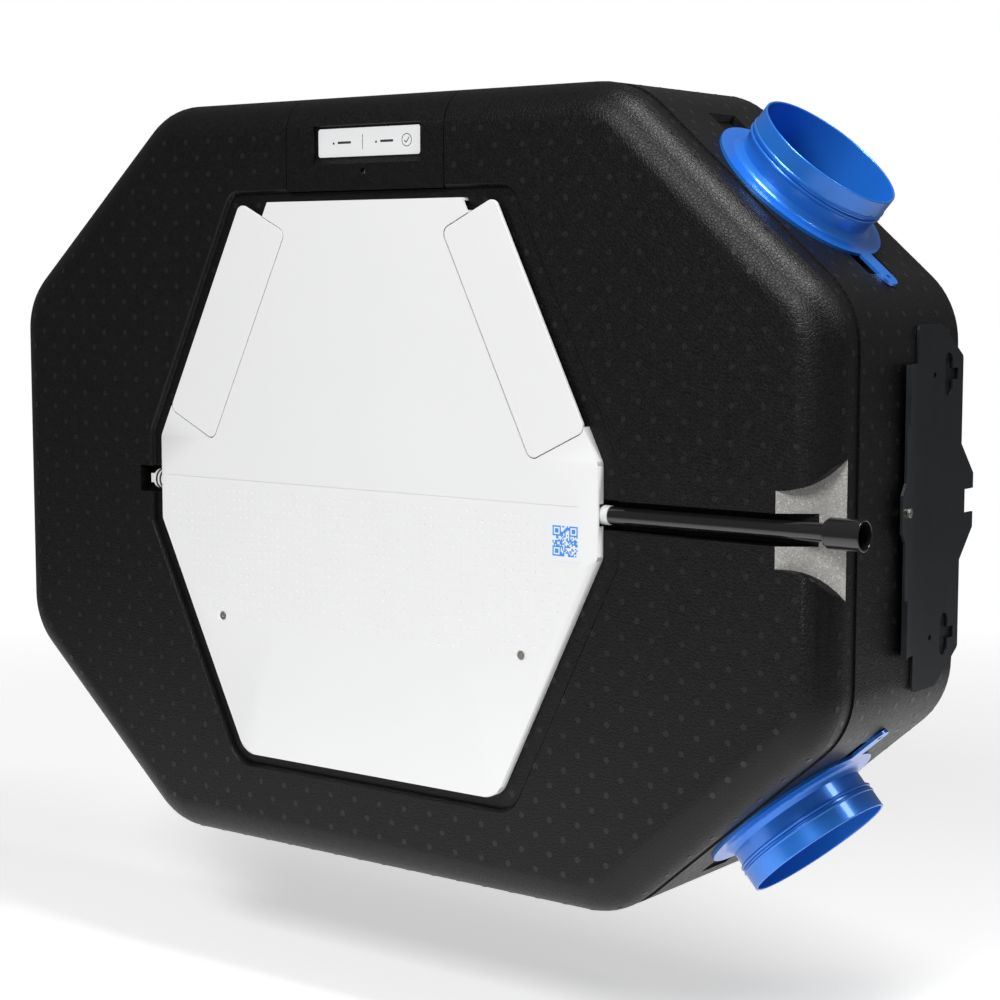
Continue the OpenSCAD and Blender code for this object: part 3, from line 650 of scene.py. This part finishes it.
# Sub-assemblies --------------------------------------------------------------
@dataclass
class SubAssembly:
    """A group of pieces that are dressed together."""

    def copy(
        self, node: str, finish: Finish, edge: Edge = Edge.CRISP, angle: float = 32.0
    ) -> Piece:
        """Puts a smooth copy of a node in its place.

        Args:
            node: The node's name.
            finish: The copy's finish.
            edge: How the copy's edges are finished.
            angle: The angle in degrees above which an edge is sharp.

        Returns:
            The copy.
        """
        piece = placed(f"{node}_shape", mesh_of(f"{node}_shape", merged(node)))
        piece.data.materials.append(finish.material())
        smoothed(piece, edge, angle)
        return self.own(piece, finish, node)

    def own(
        self, piece: Piece, finish: Finish, node: str, stands_for: bool = True
    ) -> Piece:
        """Ties a piece to the body of a node.

        Args:
            piece: The finished piece.
            finish: The piece's finish; not used.
            node: The node that it goes with.
            stands_for: Whether it is shown in the node's place.

        Returns:
            The piece.
        """
        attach(piece, frame["nodes"][node]["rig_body"])
        if stands_for:
            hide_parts(node)
        LOG.info("%s rides with %s, %d faces", piece.name, node, len(piece.data.polygons))
        return piece

    def copies(self, nodes: Iterable[str], finish: Finish, edge: Edge = Edge.CRISP) -> None:
        """Puts a smooth copy in the place of each node of a list."""
        for node in nodes:
            self.copy(node, finish, edge)


def sides(name: str) -> tuple[str, str]:
    """Gives the names of a left and a right node."""
    return f"{name}_left", f"{name}_right"


@dataclass
class FoamBody(SubAssembly):
    """The two foam shells, with their vent marks, and the foam blocks inside."""

    mark_radius: float = 3.4 * MM
    mark_height: float = 0.12 * MM
    mark_corners: int = 12
    pitch_along: float = 36.0 * MM
    pitch_up: float = 18.5 * MM
    mark_jump: float = 3.0 * MM
    mark_facing: float = 0.93
    mark_room: float = 1.5
    columns: int = 43
    rows: int = 61
    ray_start: float = 0.7
    ray_length: float = 2.0
    corner_x: float = 0.661
    corner_z: float = 0.751
    pocket_length: float = 57.0 * MM
    pocket_height: float = 100.0 * MM
    pocket_slope: float = 0.571

    def build(self) -> None:
        """Dresses the foam pieces."""
        shell = self.copy("front_shell", FOAM, angle=24.0)
        self.paint_pocket_floor_lit(shell)
        self.copy("rear_shell", FOAM, angle=24.0)
        dividers = (*sides("divider"), "divider_top", "divider_bottom")
        self.copies(dividers, FOAM_INNER, Edge.SOFT)
        for node in ("front_shell", "rear_shell"):
            self.mark(node)

    def paint_pocket_floor_lit(self, shell: Piece) -> None:
        """Gives the slanted floor of the pipe's pocket a light grey foam with raw beads, its
        lightness a painted highlight standing in for the lamps' light on that floor.

        Args:
            shell: The front shell.
        """
        shell.data.materials.append(FOAM_LIT_FLOOR.material())
        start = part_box("front_shell")[1].x - self.pocket_length
        for face in shell.data.polygons:
            slanted = abs(face.normal.x - self.pocket_slope) < 0.02 and abs(face.normal.z) < 0.02
            if slanted and face.center.x > start and abs(face.center.z) < self.pocket_height:
                face.material_index = 1

    def mark(self, node: str) -> None:
        """Covers the outside of a shell with the round marks of the mould's vents.

        Args:
            node: The shell's node.
        """
        low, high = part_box("front_shell")
        middle = (low + Vector((high.x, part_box("rear_shell")[1].y, high.z))) / 2
        slope, other = (Vector((x, 0, self.corner_z)) for x in (self.corner_x, -self.corner_x))
        outward = [Vector((1, 0, 0)), Vector((-1, 0, 0)), Vector((0, 0, 1)), Vector((0, 0, -1))]
        outward += [slope, other, -slope, -other, FRONT if node == "front_shell" else -FRONT]
        joined = bmesh.new()
        for number, normal in enumerate(outward):
            shape = self.marks(f"{node}_marks_{number}", node, normal, middle)
            joined.from_mesh(shape.data)
            bpy.data.objects.remove(shape)
        name = f"{node}_vent_marks"
        piece = placed(name, mesh_of(name, joined))
        piece.data.materials.append(FOAM_SPOT.material())
        self.own(piece, FOAM_SPOT, node, stands_for=False)

    def marks(self, name: str, node: str, normal: Vector, middle: Vector) -> Piece:
        """Lays staggered rows of marks on the part of a shell that faces one way.

        Args:
            name: The piece's name.
            node: The shell's node.
            normal: The way that the marks face.
            middle: The middle of the body.

        Returns:
            The marks.
        """
        level = Vector((0, 1, 0)) if abs(normal.y) < 0.5 else Vector((0, 0, 1))
        tree = Tree(name)
        pitch_along = tree.number("Pitch along", self.pitch_along)
        pitch_up = tree.number("Pitch up", self.pitch_up)
        reach = tree.inlet("Middle", tuple(middle + normal * self.ray_start))
        axis_along = tree.inlet("Along", tuple(level.cross(normal)))
        axis_up = tree.inlet("Up", tuple(level))
        ray = tree.inlet("Inward", tuple(-normal))
        radius = tree.number("Radius", self.mark_radius)
        height = tree.number("Height", self.mark_height)
        grid = tree.grid((self.columns - 1.0, self.rows - 1.0), (self.columns, self.rows))
        column, row, _ = tree.parts(tree.here())
        shift = ((row + 0.5) % 2.0 > 1.0) * 0.5
        start = tree.beyond(reach, axis_along, (column + shift) * pitch_along)
        start = tree.beyond(start, axis_up, row * pitch_up)
        held = tree.moved(grid, start)
        here = tree.here()

        def cast(source: Value) -> bpy.types.Node:
            """Casts a ray from a place onto the shell."""
            return tree.add(
                "GeometryNodeRaycast",
                values={
                    "Target Geometry": tree.start.outputs["Geometry"],
                    "Source Position": source,
                    "Ray Direction": ray,
                    "Ray Length": self.ray_length,
                },
            )

        hit = cast(here)
        depth = Term(tree, hit.outputs["Hit Distance"])
        facing = Term(tree, tree.vector("DOT_PRODUCT", hit.outputs["Hit Normal"], ray)) * -1.0
        keep = Term(tree, hit.outputs["Is Hit"]) * (facing > self.mark_facing)
        for axis in (axis_along, axis_up):
            for turn in (self.mark_room, -self.mark_room):
                near = cast(tree.beyond(here, axis, radius * turn))
                apart = abs(Term(tree, near.outputs["Hit Distance"]) - depth)
                keep = keep * near.outputs["Is Hit"] * (apart < self.mark_jump)
        for label, output in (("spot", "Hit Position"), ("way", "Hit Normal")):
            held = tree.add(
                "GeometryNodeStoreNamedAttribute",
                {"data_type": "FLOAT_VECTOR", "domain": "POINT"},
                {"Geometry": held, "Name": label, "Value": hit.outputs[output]},
            ).outputs[0]
        spots = tree.moved(tree.kept(held, keep), tree.named("spot"))
        disc = tree.add(
            "GeometryNodeMeshCylinder",
            {"fill_type": "TRIANGLE_FAN"},
            {"Vertices": self.mark_corners, "Radius": radius, "Depth": height * 2.0},
        )
        turned = tree.add(
            "FunctionNodeAlignRotationToVector", {"axis": "Z"}, {"Vector": tree.named("way")}
        )
        discs = tree.spread(spots, disc.outputs["Mesh"], Rotation=turned.outputs[0])
        base = placed(f"{name}_base", frame["nodes"][node].data.copy())
        return tree.grow(base, discs, FOAM_SPOT, name)


@dataclass
class FrontCover(SubAssembly):
    """The white cover with its field of dimples, and what it carries."""

    pitch: float = 9.8 * MM
    dimple_radius: float = 1.5 * MM
    dimple_depth: float = 0.8 * MM
    dimple_corners: int = 12
    dimple_profile: tuple[Point, ...] = ((1.0, 0.0), (0.85, 0.3), (0.5, 0.85))
    field_top: float = -13.0 * MM
    field_rows: int = 16
    field_edge: float = 17.0 * MM
    label_edge: float = 5.0 * MM
    screw_edge: float = 10.8 * MM
    screw_reach: float = 8.0 * MM
    crease_reach: float = 2.0 * MM
    crease_length: float = 100.0 * MM
    code_cells: int = 21
    code_margin: float = 4.2 * MM
    code_gap: float = 0.04 * MM
    code_seed: int = 11
    corner_cells: float = 7.0
    corner_frames: tuple[Point, ...] = ((2.5, 3.5), (0.0, 1.5))
    print_half: float = 0.03 * MM

    def build(self) -> None:
        """Dresses the cover and its pieces."""
        self.make_cover()
        self.copy("cover_insulation", FOAM_INNER, Edge.SOFT)
        self.copy("cover_screws", SCREW, Edge.FINE)
        self.make_code()

    def make_cover(self) -> None:
        """Makes the cover, its front face filled round the dimples."""
        shape = merged("front_cover")
        front = min(vert.co.y for vert in shape.verts)
        faces = [
            face
            for face in shape.faces
            if face.normal.y < -0.99 and abs(face.calc_center_median().y - front) < LEVEL
        ]
        rim = {edge for face in faces for edge in face.edges}
        rim = [edge for edge in rim if sum(face in faces for face in edge.link_faces) == 1]
        outline = [(edge.verts[0].co.copy(), edge.verts[1].co.copy()) for edge in rim]
        bmesh.ops.delete(shape, geom=faces, context="FACES_ONLY")
        field = self.dimples(front, outline)
        shape.from_mesh(field.data)
        bpy.data.objects.remove(field)
        bmesh.ops.remove_doubles(shape, verts=shape.verts, dist=WELD)
        open_edges = [
            edge
            for edge in shape.edges
            if edge.is_boundary and all(abs(vert.co.y - front) < LEVEL for vert in edge.verts)
        ]
        bmesh.ops.triangle_fill(shape, edges=open_edges, use_beauty=True, normal=FRONT)
        piece = placed("front_cover_shape", mesh_of("front_cover_shape", shape))
        piece.data.materials.clear()
        piece.data.materials.append(WHITE.material())
        for face in piece.data.polygons:
            face.material_index = 0
        smoothed(piece, angle=50.0)
        self.own(piece, WHITE, "front_cover")

    def dimples(self, front: float, outline: Outline) -> Piece:
        """Makes the field of dimples below the crease.

        Args:
            front: The Y of the cover's face.
            outline: The edges round the cover's face.

        Returns:
            The field, one square patch to each dimple.
        """
        squares = bmesh.new()
        columns = int(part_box("front_cover")[1].x / self.pitch)
        label_low, label_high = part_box("code_label")
        for row in range(self.field_rows):
            for column in range(-columns, columns + 1):
                middle = Vector((column * self.pitch, front, self.field_top - row * self.pitch))
                near_label = (
                    label_low.x - self.label_edge < middle.x < label_high.x + 2 * self.label_edge
                    and label_low.z - self.label_edge < middle.z < label_high.z + self.label_edge
                )
                near_screw = self.from_screw(middle) < self.screw_edge
                if near_label or near_screw or self.gap(middle, outline) < self.field_edge:
                    continue
                corners = [Vector((x, 0, z)) for x, z in ((-1, -1), (-1, 1), (1, 1), (1, -1))]
                half = self.pitch / 2
                squares.faces.new([squares.verts.new(middle + way * half) for way in corners])
        LOG.info("%d dimples", len(squares.faces))
        base = placed("dimple_places", mesh_of("dimple_places", squares))
        patch = placed("dimple_patch", mesh_of("dimple_patch", self.patch()))
        tree = Tree("dimple_field")
        places = tree.add(
            "GeometryNodeMeshToPoints", {"mode": "FACES"}, {"Mesh": tree.start.outputs["Geometry"]}
        )
        source = tree.add("GeometryNodeObjectInfo", values={"Object": patch})
        copies = tree.spread(places.outputs[0], source.outputs["Geometry"])
        field = tree.grow(base, copies, WHITE, "dimple_field")
        bpy.data.objects.remove(patch)
        return field

    @cached_property
    def screw(self) -> Vector:
        """The middle of the right screw."""
        low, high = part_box("cover_screws")
        half = (high.z - low.z) / 2
        return Vector((high.x - half, low.y, low.z + half))

    def from_screw(self, point: Vector) -> float:
        """Gives how far a place is from the nearer screw, across or up."""
        return max(abs(abs(point.x) - self.screw.x), abs(point.z - self.screw.z))

    def gap(self, point: Vector, outline: Outline) -> float:
        """Gives the distance from a place to the nearest edge of the face, or 0 outside it.

        Args:
            point: The place.
            outline: The edges round the face.

        Returns:
            The distance.
        """
        crossings = 0
        nearest = 1.0
        for a, b in outline:
            level = min(a.z, b.z) > -self.crease_reach and abs(a.z - b.z) < self.crease_reach
            if level and abs(a.x - b.x) > self.crease_length:
                continue
            span = b - a
            share = max(0.0, min(1.0, (point - a).dot(span) / max(span.length_squared, 1e-12)))
            distance = (point - a - span * share).length
            screw = self.from_screw(a) < self.screw_reach
            crease = max(abs(a.z), abs(b.z)) < self.crease_reach
            if not screw and not crease:
                nearest = min(nearest, distance)
            if (a.z > point.z) != (b.z > point.z) and not screw:
                if a.x + (b.x - a.x) * (point.z - a.z) / (b.z - a.z) > point.x:
                    crossings += 1
        return nearest if crossings % 2 else 0.0

    def patch(self) -> Shape:
        """Makes one square of the face with a dimple in its middle."""
        shape = bmesh.new()
        corners = self.dimple_corners
        turns = [math.tau * k / corners + math.pi / 4 for k in range(corners)]
        waves = [(math.cos(a), math.sin(a)) for a in turns]
        square = [self.pitch / 2 / max(abs(x), abs(z)) for x, z in waves]
        rings = [[shape.verts.new((x * r, 0, z * r)) for (x, z), r in zip(waves, square)]]
        for share, sink in self.dimple_profile:
            r, y = self.dimple_radius * share, self.dimple_depth * sink
            rings.append([shape.verts.new((x * r, y, z * r)) for x, z in waves])
            band(shape, rings[-2], rings[-1])
        middle = shape.verts.new((0, self.dimple_depth, 0))
        for k in range(corners):
            shape.faces.new((rings[-1][k], rings[-1][(k + 1) % corners], middle))
        return shape

    def make_code(self) -> None:
        """Dresses the sticker and prints a made-up pattern of squares on it."""
        self.copy("code_label", CODE_WHITE)
        low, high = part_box("code_label")
        size = high.x - low.x - 2 * self.code_margin
        cell = size / self.code_cells
        centre = (low + high) / 2
        start = Vector((centre.x, low.y - self.code_gap, centre.z))
        base = placed("code_base", bpy.data.meshes.new("code_base"))
        tree = Tree("code_pattern")
        count = tree.inlet("Cells", self.code_cells)
        span = tree.number("Size", size - cell)
        seed = tree.inlet("Seed", self.code_seed)
        grid = tree.grid((span, span), (count, count))
        column, row, _ = tree.parts(tree.here())
        edge = size / 2 - cell * (self.corner_cells + 0.5)
        corner = (abs(column) > edge) * (abs(row) > edge) * (1.0 - (column > 0.0) * (row < 0.0))
        coin = tree.add(
            "FunctionNodeRandomValue",
            {"data_type": "BOOLEAN"},
            {"Probability": 0.5, "Seed": seed},
        )
        chosen = Term(tree, coin.outputs[3]) * (1.0 - corner)
        thick = 2 * self.print_half
        square = tree.add("GeometryNodeMeshCube", values={"Size": (cell, cell, thick)})
        squares = tree.spread(tree.kept(grid, chosen), square.outputs[0])
        upright = tree.add(
            "GeometryNodeTransform",
            values={
                "Geometry": squares,
                "Translation": tree.inlet("Place", tuple(start)),
                "Rotation": (math.pi / 2, 0.0, 0.0),
            },
        )
        code = tree.grow(base, upright.outputs[0], CODE_BLUE, "code_squares")
        shape = bmesh.new()
        shape.from_mesh(code.data)
        for x, z in ((-1, 1), (1, 1), (-1, -1)):
            middle = start + Vector((x, 0, z)) * (size / 2 - cell * self.corner_cells / 2)
            for inner, outer in self.corner_frames:
                frame_of(shape, middle, inner * cell, outer * cell, self.print_half)
        shape.to_mesh(code.data)
        shape.free()
        for face in code.data.polygons:
            face.material_index = len(code.data.materials) - 1
        self.own(code, CODE_BLUE, "code_label", stands_for=False)


def frame_of(shape: Shape, middle: Vector, inner: float, outer: float, half: float) -> None:
    """Adds a flat square frame, or a square if its hole has no size.

    Args:
        shape: The shape that it is added to.
        middle: Its middle.
        inner: Half the width of its hole.
        outer: Half its width.
        half: Half its thickness.
    """
    level = [(-outer, inner, outer, outer), (-outer, -outer, outer, -inner)]
    upright = [(-outer, -inner, -inner, inner), (inner, -inner, outer, inner)]
    for bar in level + upright if inner else [(-outer, -outer, outer, outer)]:
        slab(shape, middle, bar, half)


def band(shape: Shape, ring: Corners, other: Corners) -> None:
    """Joins two closed rings of as many corners with a band of faces."""
    for k in range(len(ring)):
        after = (k + 1) % len(ring)
        shape.faces.new((ring[k], ring[after], other[after], other[k]))


def slab(shape: Shape, middle: Vector, bar: Bar, half: float) -> None:
    """Adds a thin upright bar.

    Args:
        shape: The shape that it is added to.
        middle: The place that the bar is measured from.
        bar: Its left, low, right and high side.
        half: Half its thickness.
    """
    left, low, right, high = bar
    made = bmesh.ops.create_cube(shape, size=1.0)["verts"]
    size = Vector((right - left, 2 * half, high - low))
    centre = middle + Vector(((left + right) / 2, 0, (low + high) / 2))
    for vert in made:
        vert.co = Vector(a * b for a, b in zip(vert.co, size)) + centre


@dataclass
class FilterBay(SubAssembly):
    """The filter doors, their plugs and the filters."""

    def build(self) -> None:
        """Dresses both filters and both doors."""
        self.copies(sides("filter_door"), WHITE, Edge.SOFT)
        self.copies(sides("door_plug"), FOAM_INNER, Edge.SOFT)
        self.copies(sides("filter_frame"), CARD, Edge.SOFT)
        self.copies(sides("filter_media"), FLEECE)
        self.copies(sides("filter_tab"), TAB, Edge.FINE)


@dataclass
class ControlPanel(SubAssembly):
    """The control cover with its label, and the controls behind it.

    The places and sizes of what is printed on the label are in millimetres from its middle. A bar
    has its left side, its right side and half its height.
    """

    bars: tuple[Place, ...] = ((-44, -25, 1.3), (17, 35, 1.3), (-8.6, -7.9, 8.0))
    lamps: tuple[Point, ...] = ((-50, -0.6), (11, -0.6))
    lamp_radius: float = 1.3
    tick_x: float = 54
    tick_ring: Point = (6.2, 7.0)
    tick: tuple[Point, ...] = ((-3.2, -0.2), (-0.9, -2.8), (3.6, 2.9))
    print_height: float = 0.05 * MM
    stroke_half: float = 0.5 * MM
    ring_corners: int = 32

    def build(self) -> None:
        """Dresses the control cover, its label and the electronics."""
        self.copy("control_cover", FOAM, angle=24.0)
        self.copy("display_label", FOIL, Edge.FINE)
        self.copy("control_screw", SCREW, Edge.FINE)
        self.copies(("controller_housing", "cable_gland"), GREY, Edge.SOFT)
        self.copy("circuit_board", BOARD)
        self.copy("terminal_blocks", TERMINAL, Edge.FINE)
        self.print_label()

    def print_label(self) -> None:
        """Prints the marks of two lamps, a dividing line and a tick in a ring on the label."""
        low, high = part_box("display_label")
        middle = Vector(((low.x + high.x) / 2, low.y, (low.z + high.z) / 2))
        shape = bmesh.new()
        for left, right, half in self.bars:
            slab(shape, middle, (left * MM, -half * MM, right * MM, half * MM), self.print_height)
        for x, z in self.lamps:
            self.ring(shape, middle + Vector((x, 0, z)) * MM, 0.0, self.lamp_radius * MM)
        centre = middle + Vector((self.tick_x * MM, 0, 0))
        self.ring(shape, centre, self.tick_ring[0] * MM, self.tick_ring[1] * MM)
        for start, end in zip(self.tick, self.tick[1:]):
            self.stroke(shape, centre, start, end)
        piece = placed("label_marks", mesh_of("label_marks", shape))
        piece.data.materials.append(INK.material())
        self.own(piece, INK, "display_label", stands_for=False)

    def ring(self, shape: Shape, middle: Vector, inner: float, outer: float) -> None:
        """Prints a ring, or a dot if its inner radius is 0."""
        turns = [math.tau * k / self.ring_corners for k in range(self.ring_corners)]
        top = -self.print_height
        rings = [
            [shape.verts.new(middle + Vector((math.cos(a) * r, y, math.sin(a) * r))) for a in turns]
            for r, y in ((inner, top), (outer, top), (outer, 0.0))
        ]
        band(shape, rings[0], rings[1])
        band(shape, rings[1], rings[2])

    def stroke(self, shape: Shape, middle: Vector, start: Point, end: Point) -> None:
        """Prints a short straight stroke.

        Args:
            shape: The shape that it is added to.
            middle: The place that its ends are measured from.
            start: Its start, in millimetres across and up.
            end: Its end.
        """
        a, b = (middle + Vector((x * MM, 0, z * MM)) for x, z in (start, end))
        side = (b - a).normalized().cross(FRONT) * self.stroke_half
        corners = (a - side, a + side, b + side, b - side)
        front = [shape.verts.new(corner + FRONT * self.print_height) for corner in corners]
        back = [shape.verts.new(corner) for corner in corners]
        shape.faces.new(front)
        band(shape, front, back)


@dataclass
class Ducts(SubAssembly):
    """The two duct spigots, the seals of all four ports and the sensors in the air."""

    def build(self) -> None:
        """Dresses the ducts."""
        self.copies(("duct_spigot_top_right", "duct_spigot_bottom_right"), BLUE, Edge.SOFT)
        self.copy("port_seals", RUBBER, Edge.SOFT)
        self.copy("temperature_sensors", SCREW, Edge.SOFT)


@dataclass
class Drain(SubAssembly):
    """The condensate drain."""

    def build(self) -> None:
        """Dresses the pipe, its socket, the manifold and the plug."""
        self.copies(("drain_pipe", "drain_socket"), PIPE, Edge.SOFT)
        self.copy("drain_manifold", RAIL, Edge.SOFT)
        self.copy("drain_plug", PLUG, Edge.SOFT)
        self.copy("plug_orings", RUBBER)


@dataclass
class Exchanger(SubAssembly):
    """The counterflow exchanger: a stack of thin sheets between two end plates."""

    sheet: float = 0.7 * MM
    pitch: float = 2.1 * MM

    def build(self) -> None:
        """Dresses the exchanger."""
        self.make_stack()
        self.copy("exchanger_frame", RAIL, Edge.SOFT)
        self.copy("exchanger_strap", STRAP)
        self.copy("exchanger_gaskets", RUBBER, Edge.SOFT)

    def make_stack(self) -> None:
        """Makes the stack of sheets inside the outline of the plain core."""
        low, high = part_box("exchanger_core")
        core = merged("exchanger_core")
        corners = [vert.co.copy() for vert in core.verts if abs(vert.co.y - low.y) < LEVEL]
        core.free()
        corners.sort(key=lambda p: math.atan2(p.z, p.x))
        shape = bmesh.new()
        front = [shape.verts.new((p.x, low.y, p.z)) for p in corners]
        back = [shape.verts.new((p.x, low.y + self.sheet, p.z)) for p in corners]
        shape.faces.new(front)
        shape.faces.new(reversed(back))
        band(shape, back, front)
        bmesh.ops.recalc_face_normals(shape, faces=shape.faces)
        base = placed("sheet", mesh_of("sheet", shape))
        tree = Tree("sheet_stack")
        count = int((high.y - low.y - self.sheet) / self.pitch) + 1
        row = tree.add(
            "GeometryNodeMeshLine",
            values={
                "Count": tree.inlet("Sheets", count),
                "Offset": tree.inlet(
                    "Pitch", (0.0, (high.y - low.y - self.sheet) / (count - 1), 0.0)
                ),
            },
        )
        stack = tree.spread(row.outputs[0], tree.start.outputs["Geometry"])
        piece = tree.grow(base, stack, PLATE, "exchanger_sheets")
        self.own(piece, PLATE, "exchanger_core")


@dataclass
class Fans(SubAssembly):
    """The two radial fans."""

    def build(self) -> None:
        """Dresses both fans."""
        self.copies(sides("fan_housing"), GREY, Edge.SOFT)
        self.copies(sides("fan_motor"), MOTOR, Edge.SOFT)
        self.copies(sides("impeller"), IMPELLER, Edge.FINE)


@dataclass
class Brackets(SubAssembly):
    """The hanging brackets."""

    def build(self) -> None:
        """Dresses the brackets and their screws."""
        self.copies(sides("wall_bracket"), STEEL, Edge.FINE)
        self.copy("bracket_screws", SCREW, Edge.FINE)


# Studio ----------------------------------------------------------------------
@dataclass
class Studio:
    """The camera, the soft lights and the pale floor."""

    camera_place: Place = (1.543, -2.107, 0.241)
    azimuth: float = 37.1
    elevation: float = 6.1
    lens: float = 77.4
    sensor: float = 36.0
    world_glow: float = 0.14
    floor_glow: float = 0.45
    floor_drop: float = 0.16
    floor_radius: float = 2.6

    def build(self) -> None:
        """Makes the camera, the lights, the world and the floor."""
        scene = bpy.context.scene
        camera = bpy.data.objects.new("camera", bpy.data.cameras.new("camera"))
        scene.collection.objects.link(camera)
        turn, lift = math.radians(self.azimuth), math.radians(self.elevation)
        ahead = Vector(
            (-math.sin(turn) * math.cos(lift), math.cos(turn) * math.cos(lift), -math.sin(lift))
        )
        camera.location = self.camera_place
        camera.rotation_mode = "QUATERNION"
        camera.rotation_quaternion = ahead.to_track_quat("-Z", "Y")
        camera.data.lens = self.lens
        camera.data.sensor_width = self.sensor
        camera.data.clip_end = 60.0
        scene.camera = camera
        scene.view_settings.view_transform = "Standard"
        self.light("softbox_top", (0.95, -0.4, 1.7), (0.4, -0.25, 0.3), 0.55, 24.0)
        self.light("softbox_key", (0.7, -3.2, 2.2), (0.0, -0.3, 0.0), 1.2, 96.0)
        self.light("softbox_side", (2.2, 0.3, 1.7), (0.55, -0.15, 0.3), 0.5, 9.0)
        self.make_world(scene)
        self.make_floor()

    def light(self, name: str, place: Place, target: Place, size: float, power: float) -> None:
        """Adds a square softbox.

        Args:
            name: The light's name.
            place: Where it stands.
            target: Where it points.
            size: The length of its side.
            power: Its power in watts.
        """
        data = bpy.data.lights.new(name, "AREA")
        data.energy, data.size = power, size
        lamp = bpy.data.objects.new(name, data)
        bpy.context.scene.collection.objects.link(lamp)
        lamp.location = place
        lamp.rotation_mode = "QUATERNION"
        lamp.rotation_quaternion = (Vector(target) - Vector(place)).to_track_quat("-Z", "Y")

    def make_world(self, scene: bpy.types.Scene) -> None:
        """Makes a world that looks white and lights softly.

        Args:
            scene: The scene that gets it.
        """
        world = bpy.data.worlds.new("studio")
        world.use_nodes = True
        sheet = Sheet(world.node_tree)
        sheet.tree.nodes.clear()
        path = sheet.add("ShaderNodeLightPath").outputs["Is Camera Ray"]
        dim, bright = (
            sheet.add("ShaderNodeBackground", values={"Color": (1.0, 1.0, 1.0), "Strength": glow})
            for glow in (self.world_glow, 1.0)
        )
        mixed = sheet.add(
            "ShaderNodeMixShader", values={0: path, 1: dim.outputs[0], 2: bright.outputs[0]}
        )
        sheet.add("ShaderNodeOutputWorld", values={"Surface": mixed.outputs[0]})
        scene.world = world

    def make_floor(self) -> None:
        """Makes a round floor some way below the unit, which fades out towards its rim."""
        level = CAD_BOX[0].z - self.floor_drop
        shape = bmesh.new()
        bmesh.ops.create_circle(shape, cap_ends=True, segments=96, radius=self.floor_radius)
        floor = placed("floor", mesh_of("floor", shape))
        floor.location = (0.0, 0.0, level)
        material = bpy.data.materials.new("floor_pale")
        paint = Paint(material)
        across, along, _ = paint.parts(paint.place)
        far = (across * across + along * along).apply("SQRT") / self.floor_radius
        paint.shade(
            Base_Color=(0.93, 0.93, 0.93),
            Roughness=0.8,
            Specular_IOR_Level=0.2,
            Emission_Color=(1.0, 1.0, 1.0),
            Emission_Strength=self.floor_glow,
            Alpha=((1.0 - far) * 1.5).apply("MINIMUM", 1.0),
        )
        floor.data.materials.append(material)


def main() -> None:
    """Builds every sub-assembly in order."""
    logging.basicConfig(level=logging.INFO, format="%(message)s")
    Studio().build()
    body = (FoamBody, FrontCover, FilterBay, ControlPanel)
    for group in (*body, Ducts, Drain, Exchanger, Fans, Brackets):
        LOG.info("%s", group.__name__)
        group().build()


if __name__ == "__main__":
    main()
